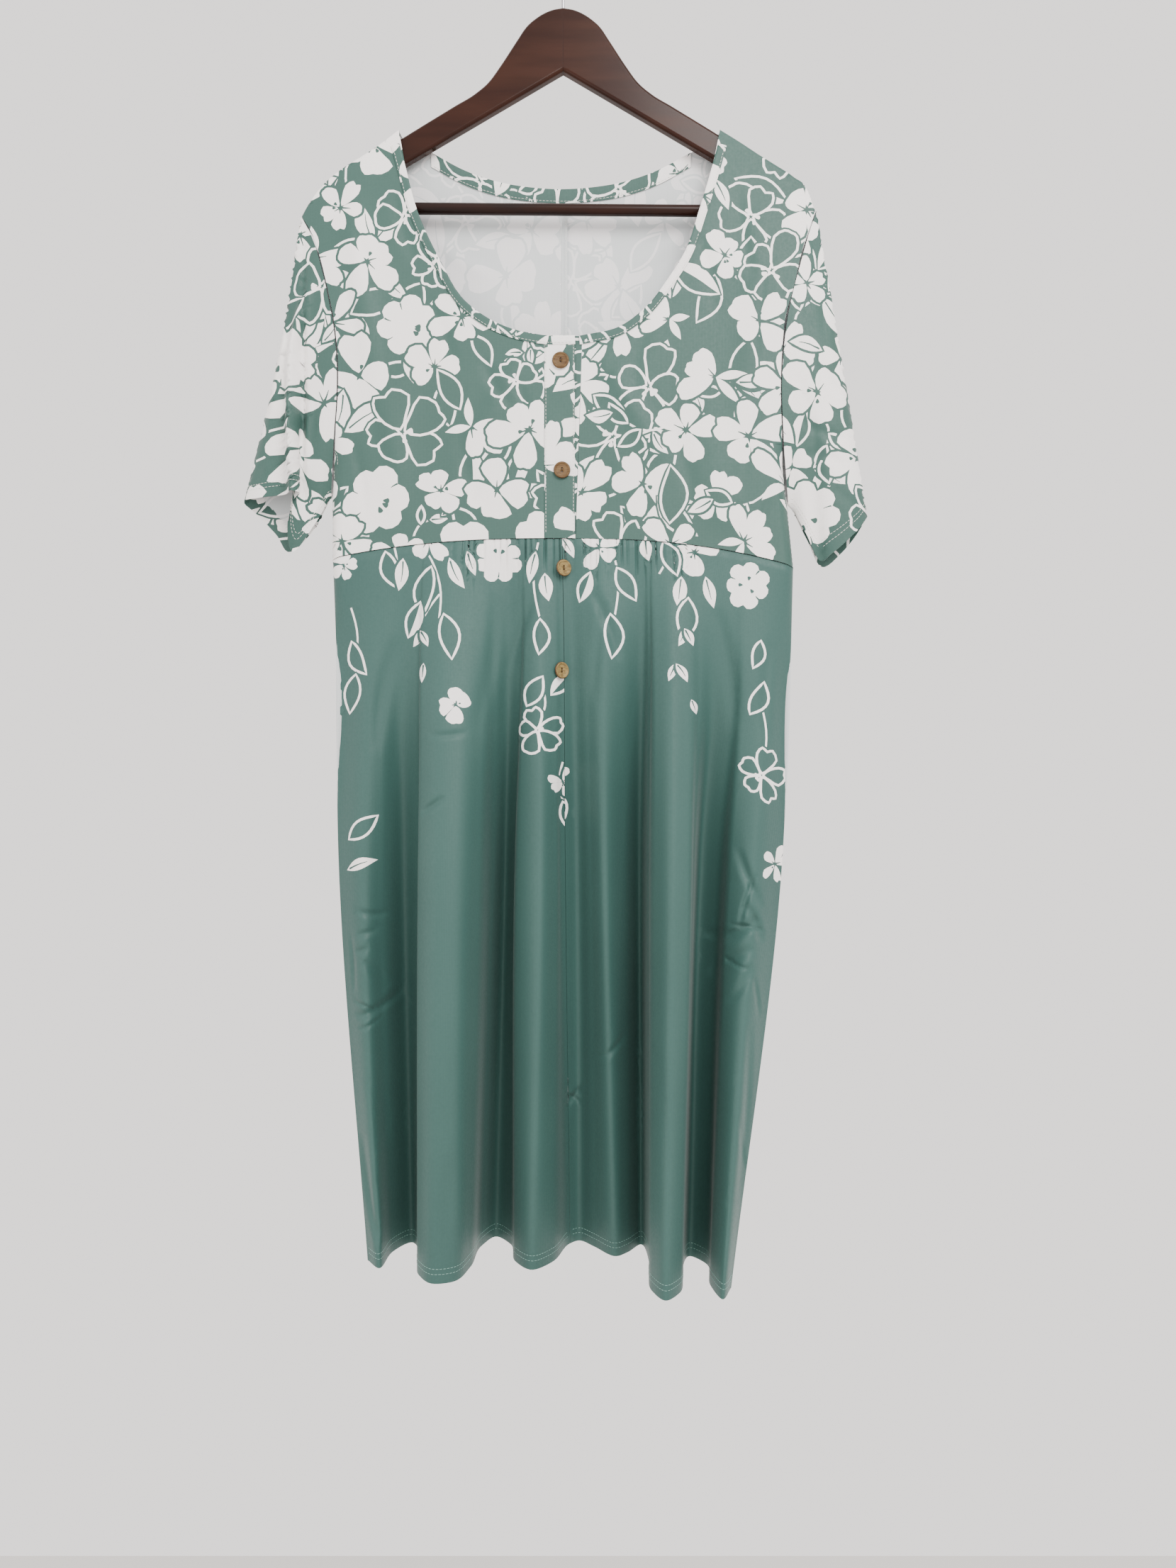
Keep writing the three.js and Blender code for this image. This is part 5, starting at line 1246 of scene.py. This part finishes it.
def sleeveTube(rows, left):
    arm = lineThrough(armholeLeft if left else armholeRight)
    tops = arm(rows[:, 0])
    topY = rows[:, 1] * (bodiceStand(tops[0], tops[1]) + halfGap)
    topY[0] = 0
    outward = -1 if left else 1
    topX = tops[0] + outward * sleeve["clear"]
    ring = np.stack([topX, topY, tops[1] - 0.1, *rows[:, 2:10].T], 1)
    wrapped = np.concatenate([ring[-2:], ring, ring[:3]])
    knots = knotsOf(wrapped[:, 3:9])
    n = len(ring)
    start, turn = knots[2], knots[n + 2] - knots[2]
    underarm = (knots[2 + int(np.argmax(rows[:, 0]))] - start) / turn

    def columns(u):
        place = start + np.mod(u, 1) * turn
        return [curveAt(knots, wrapped[:, i], place) for i in range(11)]

    def pointOf(u, v):
        c = columns(u)
        head = bodiceStand(c[0] - outward * sleeve["clear"], c[2]) + halfGap
        raised = np.sign(c[1]) * np.maximum(np.abs(c[1]), head)
        c[1] = np.where(c[2] > tops[1].max() - sleeve["headDepth"], raised, c[1])
        x, y, z = [curveAt([0, 0.5, 1], [c[i], c[i + 3], c[i + 6]], v) for i in range(3)]
        ends = ease(0, 0.12, v) * (1 - ease(0.9, 1, v)) * ease(1, 5.5, np.abs(y))
        return np.stack([x, y + np.sign(y) * ends * creaseSum(sleeveCreases, x, z), z], 1)

    def flatOf(u, v):  # laid flat, the back turned over about the outer fold
        c = columns(u)
        x = curveAt([0, 0.5, 1], [c[0], c[3], c[9]], v)
        z = curveAt([0, 0.5, 1], [c[2], c[5], c[10]], v)
        return x, z

    ends = np.linspace(0, 1, 60)
    foldX, foldZ = flatOf(np.zeros(60), ends)

    def flat(u, v):
        x, z = flatOf(u, v)
        return np.stack([np.where(u < 0, 2 * np.interp(-z, -foldZ, foldX) - x, x), z])
    return pointOf, flat, underarm


def barycentric(points, a, b, c):
    v0, v1, v2 = b - a, c - a, points[:, None] - a
    den = v0[:, 0] * v1[:, 1] - v1[:, 0] * v0[:, 1]
    den = np.where(np.abs(den) < 1e-9, 1e-9, den)
    s = (v2[..., 0] * v1[:, 1] - v1[:, 0] * v2[..., 1]) / den
    t = (v0[:, 0] * v2[..., 1] - v2[..., 0] * v0[:, 1]) / den
    return s, t


def locate(points, grid, uv):  # u and v of points inside a grid of cells
    k, n = grid.shape[:2]
    at = lambda table, i, j: table[i:k - 1 + i, j:n - 1 + j].reshape(-1, 2)
    halves = [((0, 0), (0, 1), (1, 1)), ((0, 0), (1, 1), (1, 0))]
    a, b, c, ua, ub, uc = [np.concatenate([at(table, *half[i]) for half in halves])
                           for table in (grid, uv) for i in range(3)]
    result = np.empty_like(points)
    for first in range(0, len(points), 400):
        some = points[first:first + 400]
        s, t = barycentric(some, a, b, c)
        inside = np.minimum(np.minimum(s, t), 1 - s - t)
        best = inside.argmax(1)
        row = np.arange(len(some))
        s, t = np.clip(s[row, best], 0, 1)[:, None], np.clip(t[row, best], 0, 1)[:, None]
        result[first:first + 400] = ua[best] + (ub[best] - ua[best]) * s + (uc[best] - ua[best]) * t
    return result


cuffLines = {}
for name, rows, left, seed in (("sleeve_left", sleeveLeft, True, 107), ("sleeve_right", sleeveRight, False, 113)):
    pointOf, flat, underarm = sleeveTube(rows, left)
    crown = np.array([0.0006, 0.0015, 0.003, 0.005, 0.008, 0.012, 0.017, 0.023])
    us = np.unique(np.concatenate([np.linspace(underarm - 1, underarm, sleeve["columns"]), -crown, [0], crown]))
    vs = np.linspace(0, 1, sleeve["rows"])
    gridUv = np.stack(np.meshgrid(np.linspace(us[0], us[-1], 48), np.linspace(0, 1, 12)), 2)
    gridFlat = flat(gridUv[..., 0].ravel(), gridUv[..., 1].ravel()).T.reshape(*gridUv.shape)
    points, _, border = gridPoints(flat, [(v, us) for v in vs])
    fall = np.linalg.norm(pointOf(us, np.ones(len(us))) - pointOf(us, np.zeros(len(us))), axis=1)

    def sleeveAt(uv, pointOf=pointOf, facing=-1 if left else 1):
        step = 0.004
        ahead = pointOf(uv[:, 0] + step, uv[:, 1]) - pointOf(uv[:, 0] - step, uv[:, 1])
        down = pointOf(uv[:, 0], np.minimum(1, uv[:, 1] + step)) - pointOf(uv[:, 0], np.maximum(0, uv[:, 1] - step))
        return pointOf(uv[:, 0], uv[:, 1]), unit(np.cross(ahead, down) * facing)

    def sleeveSurface(p):
        uv = locate(p, gridFlat, gridUv)
        return (*sleeveAt(uv), (1 - uv[:, 1]) * np.interp(uv[:, 0], us, fall))

    fine = np.linspace(us[0] + 0.004, us[-1] - 0.004, 700)
    cuffLines[name] = sleeveAt, [np.stack([fine, 1 - up / np.interp(fine, us, fall)], 1)
                                 for up in sleeve["cuffStitch"]]
    clothShell(name + "_cloth", [name], points, border, sleeveSurface, densePrint(points, seed), bodiceCloth,
               turnUp=sleeve["cuffTurn"])
print("cloth made")

# hanger
hanger = {"thick": 11, "round": 3.2, "lugFoot": -253, "lugInner": 190, "lugRadius": 6.75, "barRadius": 5.2,
          "barClear": 0.3, "barLeft": -242, "barRight": -245, "wire": 1.6, "hookRadius": 19,
          "peak": -60.7, "low": -118.6, "slope": 0.588}
hangerTop = np.array([(0, -60.7), (10, -62.5), (24.4, -69.8), (34.8, -79.2), (42, -90), (58, -114.5), (67, -127),
                      (81, -139.4), (98.5, -150), (148, -180.4), (190, -207.2), (199, -214), (203.5, -223)])


def roundedSlab(name, outline, thick, radius, material, nodes):  # a board with rounded edges
    steps = np.radians([0, 18, 36, 54, 72, 90])
    along = np.roll(outline, -1, 0) - np.roll(outline, 1, 0)
    out = unit(np.stack([along[:, 1], -along[:, 0]], 1))
    rings, ringNormals = [], []
    for side, angles in ((-1, steps[::-1]), (1, steps)):
        for a in angles:
            place = grown(outline, radius * (math.cos(a) - 1))
            y = side * (thick / 2 - radius + radius * math.sin(a))
            rings.append(np.stack([place[:, 0], np.full(len(place), y), place[:, 1]], 1))
            ringNormals.append(np.stack([out[:, 0] * math.cos(a), np.full(len(out), side * math.sin(a)),
                                         out[:, 1] * math.cos(a)], 1))
    corners, normal = np.concatenate(rings) * mm, np.concatenate(ringNormals)
    n, count = len(outline), len(rings)
    cap = grown(outline, -radius)
    found, cells = cutSheet(cap, loopEdges(0, n), lambda centre: insideOf(centre, cap))
    faces = [f[::-1] for f in ringFaces(n, count)] + cells.tolist() + (cells[:, ::-1] + (count - 1) * n).tolist()
    showPiece(name, meshFrom(name, corners, faces, [material], None, normal[np.concatenate(faces)]), nodes)
    print(name, n, len(found), "outline points")


topXs = np.concatenate([np.linspace(0, 60, 40), np.linspace(62, 196, 60), np.linspace(197, 203.5, 12)])
topEdge = np.stack([topXs, curveAt(hangerTop[:, 0], hangerTop[:, 1], topXs)], 1)
lugTurn = np.linspace(0, -np.pi, 18)
lug = np.stack([hanger["lugInner"] + hanger["lugRadius"] * (1 + np.cos(lugTurn)),
                hanger["lugFoot"] + hanger["lugRadius"] * (1 + np.sin(lugTurn))], 1)
lowXs = np.linspace(hanger["lugInner"], 0, 70)[1:-1]
halfOutline = np.concatenate([topEdge, lug, np.stack([lowXs, hanger["low"] - hanger["slope"] * lowXs], 1)])
lowPeak = np.array([(0, hanger["low"])])
outline = np.concatenate([halfOutline, lowPeak, mirroredLine(halfOutline[1:])[::-1]])[::-1]
roundedSlab("hanger_wood", outline, hanger["thick"], hanger["round"], lacquer,
            ["hanger_arm_left", "hanger_arm_right"])


def tube(name, path, radius, material, nodes, sides=28, tip=0.8):  # a round rod with eased ends
    path = np.asarray(path, float)
    along = unit(np.gradient(path, axis=0))
    side = np.array([0.0, 1.0, 0.0])
    up = np.cross(side, along)
    eased = [(tip * (1 - math.cos(a)), radius - tip * (1 - math.sin(a))) for a in np.radians([0, 30, 60])]
    stations = [(path[0] + along[0] * back, up[0], r) for back, r in eased]
    stations += [(p, u, radius) for p, u in zip(path[1:-1], up[1:-1])]
    stations += [(path[-1] - along[-1] * back, up[-1], r) for back, r in eased[::-1]]
    ring = circle(1, sides)
    rings = [centre + r * (ring[:, :1] * side + ring[:, 1:] * lift) for centre, lift, r in stations]
    mesh = meshFrom(name, np.concatenate(rings) * mm, rodFaces(sides, len(rings)), [material])
    tidyNormals(mesh)
    showPiece(name, mesh, nodes)


reach = hanger["lugInner"] - hanger["barClear"]
barXs = np.linspace(-reach, reach, 60)
barZs = mix(hanger["barLeft"], hanger["barRight"], (barXs + reach) / 2 / reach)
tube("hanger_rod", np.stack([barXs, np.zeros(60), barZs], 1), hanger["barRadius"], barWood, ["hanger_bar"],
     40)


def hookPath():  # straight up from the wood, a bend to the right, then round over the top
    radius = hanger["hookRadius"] + hanger["wire"]
    low, first = -hanger["hookRadius"] - radius - 6, -0.18 * math.pi
    start = np.array([radius * math.cos(first), -hanger["hookRadius"] + radius * math.sin(first)])
    lean = np.array([-math.sin(first), math.cos(first)]) * -9
    points = [(0, z) for z in np.linspace(hanger["peak"] - 22, low, 16)[:-1]]
    for t in np.linspace(0, 1, 14)[:-1]:
        a, b, c, d = (1 - t) ** 3, 3 * t * (1 - t) ** 2, 3 * t * t * (1 - t), t ** 3
        points.append((c * (start[0] + lean[0]) + d * start[0],
                       a * low + b * (low + 5) + c * (start[1] + lean[1]) + d * start[1]))
    for a in np.linspace(0, 1.12 * math.pi, 60):
        points.append((radius * math.cos(first + a), -hanger["hookRadius"] + radius * math.sin(first + a)))
    return np.array([(x, 0, z) for x, z in points])


tube("hanger_wire", hookPath(), hanger["wire"], steelWire, ["hanger_hook"], 24)
print("hanger made")

# buttons
button = {"radius": 7.6, "hole": 0.8, "holeShift": 1.45, "middle": 1.35, "around": 60, "thread": 0.32,
          "edge": 7.0,  # outside this the wood is painted darker, a painted shade round the rim
          "rings": (2.6, 3.6, 4.4, 4.9, 5.2, 5.5, 5.8, 6.1, 6.4, 6.7, 7.0, 7.25, 7.45, 7.6)}
buttonTurns = {"button_1": (0, 0), "button_2": (3, 0), "button_3": (30, 1), "button_4": (38, 1)}  # degrees, and the wood, where 1 is the same wood painted paler as a painted reflection
threadBridge = [(-0.35, -1.2, -1.45), (-0.2, -2.05, -1.2), (-0.1, -2.12, 0), (-0.2, -2.05, 1.2), (-0.35, -1.2, 1.45)]
buttonFront = np.array([(0, 1.75), (2.4, 1.8), (4.6, 1.86), (5.15, 1.95), (5.6, 2.25), (6.0, 2.58), (6.4, 2.7),
                        (6.8, 2.66), (7.2, 2.4), (7.5, 1.95), (7.6, 1.6)])
buttonBack = np.array([(0, 0), (5.6, 0.02), (6.3, 0.16), (7.0, 0.6), (7.45, 1.1), (7.6, 1.5)])


def buttonMesh(name, materials):
    corners, edges = [(0, 0)], []
    holes = (-button["holeShift"], button["holeShift"])
    addLoops(corners, edges, [circle(r, button["around"]) for r in button["rings"]]
             + [circle(button["hole"], 16, shift) for shift in holes])

    def isWood(centre):
        within = np.hypot(*centre.T) < button["radius"]
        for shift in holes:
            within &= np.hypot(centre[:, 0], centre[:, 1] - shift) > button["hole"] * 0.98
        return within

    flat, tri = cutSheet(corners, edges, isWood)
    a, b, c = flat[tri[:, 0]], flat[tri[:, 1]], flat[tri[:, 2]]
    back = (b[:, 0] - a[:, 0]) * (c[:, 1] - a[:, 1]) - (b[:, 1] - a[:, 1]) * (c[:, 0] - a[:, 0]) < 0
    tri[back] = tri[back][:, ::-1]
    r = np.hypot(*flat.T)
    both = [np.stack([flat[:, 0], -np.interp(r, *side.T), flat[:, 1]], 1) for side in (buttonFront, buttonBack)]
    n = len(flat)
    walls, _ = rimQuads(tri, n)
    faces = tri.tolist() + (tri[:, ::-1] + n).tolist() + walls.tolist()
    # painted shade: the outer band and the walls take the dark rim wood
    edge = (r[tri].mean(1) > button["edge"]).astype(int)
    paint = np.concatenate([edge, edge, np.ones(len(walls), int)])
    return meshFrom(name, np.concatenate(both) * mm, faces, materials, paint)


for name, (degrees, kind) in buttonTurns.items():
    low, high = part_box(name)
    theta = math.radians(degrees)
    place = (low + high) / 2 + Vector((-math.sin(theta), math.cos(theta), 0)) * button["middle"] * mm
    turn = Matrix.Rotation(theta, 4, "Z")
    mesh = buttonMesh(name + "_disc", [buttonWoods[kind], buttonWoods[2]])
    mesh.transform(Matrix.Translation(place) @ turn)
    tidyNormals(mesh)
    showPiece(name + "_disc", mesh, [name])
    path = [turn @ Vector(p) + place / mm for p in threadBridge]
    tube(name + "_thread", path, button["thread"], buttonThread, [], 8, 0.2)
print("buttons made")

# stitching: short raised stitches along a line on the cloth's face
sewing = {"length": 2.5, "gap": 0.8, "radius": 0.2, "rise": 0.1, "bindingInset": 1.5, "facingInset": 1.6}


def stitches(name, surface, paths, material=threadPale, length=sewing["length"],
             radius=sewing["radius"]):
    rod = np.array(ringFaces(5, 4)), np.array([range(5)[::-1], range(15, 20)])
    corners, faces = [], []
    for path in paths:
        place, normal = surface(np.asarray(path, float))[:2]
        along = np.concatenate([[0], np.cumsum(np.linalg.norm(np.diff(place, axis=0), axis=1))])
        starts = np.arange(sewing["gap"], along[-1] - length, length + sewing["gap"])
        for start in starts:
            at = start + length * np.array([0, 0.22, 0.78, 1])
            p = np.stack([np.interp(at, along, place[:, i]) for i in range(3)], 1)
            n = unit(np.stack([np.interp(at, along, normal[:, i]) for i in range(3)], 1))
            t = p[-1] - p[0]
            b = np.cross(t / np.linalg.norm(t), n)
            p = p + n * (sewing["rise"] * np.array([-1.2, 1, 1, -1.2]))[:, None]
            r = radius * np.array([0.5, 1, 1, 0.5])
            first = len(corners) * 20
            ring = [p[:, None] + r[:, None, None] * (math.cos(a) * n + math.sin(a) * b)[:, None]
                    for a in np.linspace(0, 2 * math.pi, 5, endpoint=False)]
            corners.append(np.concatenate(ring, 1).reshape(-1, 3))
            faces += [*(first + rod[0]).tolist(), *(first + rod[1]).tolist()]
    corners = (np.concatenate(corners) + [dress["shift"], 0, 0]) * mm
    mesh = meshFrom(name, corners, faces, [material])
    tidyNormals(mesh)
    showPiece(name, mesh)
    print(name, len(faces), "faces")


def lineAt(along, across):  # a path at one place across the cloth
    return np.stack([along, np.full(len(along), across)], 1)


def hemLines(start, end, width, count=900):
    return [lineAt(np.linspace(start, end, count) * width, up - skirt["fall"]) for up in skirt["hemStitch"]]


for name, start, end in (("left", 0.004, middle - 0.004), ("right", middle + 0.004, 0.996)):
    stitches("hem_stitches_front_" + name, crossSurface(frontPoint, 1), hemLines(start, end, frontWidth),
             threadGreen)
stitches("hem_stitches_back", crossSurface(backPoint, -1), hemLines(0.003, 0.997, backWidth, 1600),
         threadGreen)
for name, (surface, length) in bindingFaces.items():
    stitches(name + "_stitches", surface,
             [lineAt(np.linspace(3, length - 3, 700), trims["bindingWidth"] - sewing["bindingInset"])])
stitches("neck_facing_stitches", crossSurface(facingPoint, 1),
         [lineAt(np.linspace(2, facingLength - 2, 600), sewing["facingInset"] - trims["facingHeight"])])
down = np.arange(1, allowance["length"] - 1, 1.3)
zigzag = np.stack([allowance["width"] - 0.3 - 2.2 * (np.arange(len(down)) % 2), -down], 1)
stitches("back_seam_overlock", crossSurface(allowancePoint, 1), [zigzag], threadPale, 2.2, 0.16)
for side, x in (("left", bandLeft + 1.3), ("right", bandRight - 1.2)):
    zs = np.linspace(dress["neckFront"] - 3, float(seamZ(np.array([x]))[0]) + 2, 300)
    stitches("band_stitches_" + side, heightSurface(bandY, -1), [lineAt(zs, x)[:, ::-1]])
for name, (surface, lines) in cuffLines.items():
    stitches(name + "_cuff_stitches", surface, lines)
print("stitching made")

# the cut of what shows of each piece, in metres: width, length, area, how it is held and on what
cuts = {
    "bodice_front_left_cloth": (0.222, 0.394, 0.0563, "hung", ["hanger_wood"]),
    "bodice_front_right_cloth": (0.219, 0.402, 0.0564, "hung", ["hanger_wood"]),
    "bodice_back_left_cloth": (0.236, 0.394, 0.0764, "hung", ["hanger_wood"]),
    "bodice_back_right_cloth": (0.233, 0.402, 0.0766, "hung", ["hanger_wood"]),
    "placket_cloth": (0.028, 0.184, 0.0050, "hung", ["bodice_front_left_cloth"]),
    "placket_under_cloth": (0.028, 0.184, 0.0045, "hung", ["bodice_front_right_cloth"]),
    "neck_binding_left_cloth": (0.012, 0.270, 0.0022, "hung", ["bodice_front_left_cloth"]),
    "neck_binding_right_cloth": (0.012, 0.240, 0.0019, "hung", ["bodice_front_right_cloth"]),
    "neck_facing_back_cloth": (0.0132, 0.252, 0.0033, "hung", ["bodice_back_left_cloth", "bodice_back_right_cloth"]),
    "skirt_front_left_cloth": (0.371, 0.655, 0.2375, "gathered", ["bodice_front_left_cloth"]),
    "skirt_front_right_cloth": (0.360, 0.655, 0.2345, "gathered", ["bodice_front_right_cloth"]),
    "skirt_back_cloth": (0.500, 0.655, 0.3225, "gathered", ["bodice_back_left_cloth", "bodice_back_right_cloth"]),
    "sleeve_left_cloth": (0.330, 0.169, 0.0382, "hung", ["bodice_front_left_cloth", "bodice_back_left_cloth"]),
    "sleeve_right_cloth": (0.321, 0.152, 0.0345, "hung", ["bodice_front_right_cloth", "bodice_back_right_cloth"]),
}
for name, (width, length, area, held, carrier) in cuts.items():
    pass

# camera, light and floor
view = {"place": (0.0227, -1.040, -0.770), "focal": 26.04, "floor": -1.75, "floorHalf": 2, "floorEnd": 0.4}
camera = newObject("camera", bpy.data.cameras.new("camera"))
camera.location = view["place"]
camera.rotation_euler = (math.pi / 2, 0, 0)
camera.data.sensor_fit = "VERTICAL"
camera.data.sensor_height = 36
camera.data.sensor_width = 27
camera.data.lens = view["focal"]
bpy.context.scene.camera = camera


def softLight(name, place, target, size, power, colour=(1, 0.985, 0.96)):
    data = bpy.data.lights.new(name, "AREA")
    data.size, data.energy, data.color = size, power, colour
    lamp = newObject(name, data)
    lamp.location = place
    lamp.rotation_euler = (Vector(target) - Vector(place)).to_track_quat("-Z", "Y").to_euler()


softLight("keyLight", (0.7, -1.6, 0.6), (0, 0, -0.6), 1.0, 46)
softLight("fillLight", (-1.5, -1.3, -0.6), (0, 0, -0.7), 1.4, 7)
world = bpy.data.worlds.new("paleRoom")
bpy.context.scene.world = world
world.use_nodes = True
backdrop = world.node_tree.nodes["Background"].inputs
backdrop["Color"].default_value = (0.75, 0.72, 0.70, 1)
backdrop["Strength"].default_value = 2.2

floorMesh = bpy.data.meshes.new("floor")
half = view["floorHalf"]
floorMesh.from_pydata([(x, y, view["floor"]) for x, y in ((-half, -half), (half, -half), (half, view["floorEnd"]),
                                                          (-half, view["floorEnd"]))], [], [(0, 1, 2, 3)])
floor = newObject("floor", floorMesh)
floorPaint = bpy.data.materials.new("palePaint")
floorPaint.use_nodes = True
floorLook = floorPaint.node_tree.nodes["Principled BSDF"].inputs
floorLook["Base Color"].default_value = (0.66, 0.64, 0.62, 1)
floorLook["Roughness"].default_value = 0.8
floorMesh.materials.append(floorPaint)
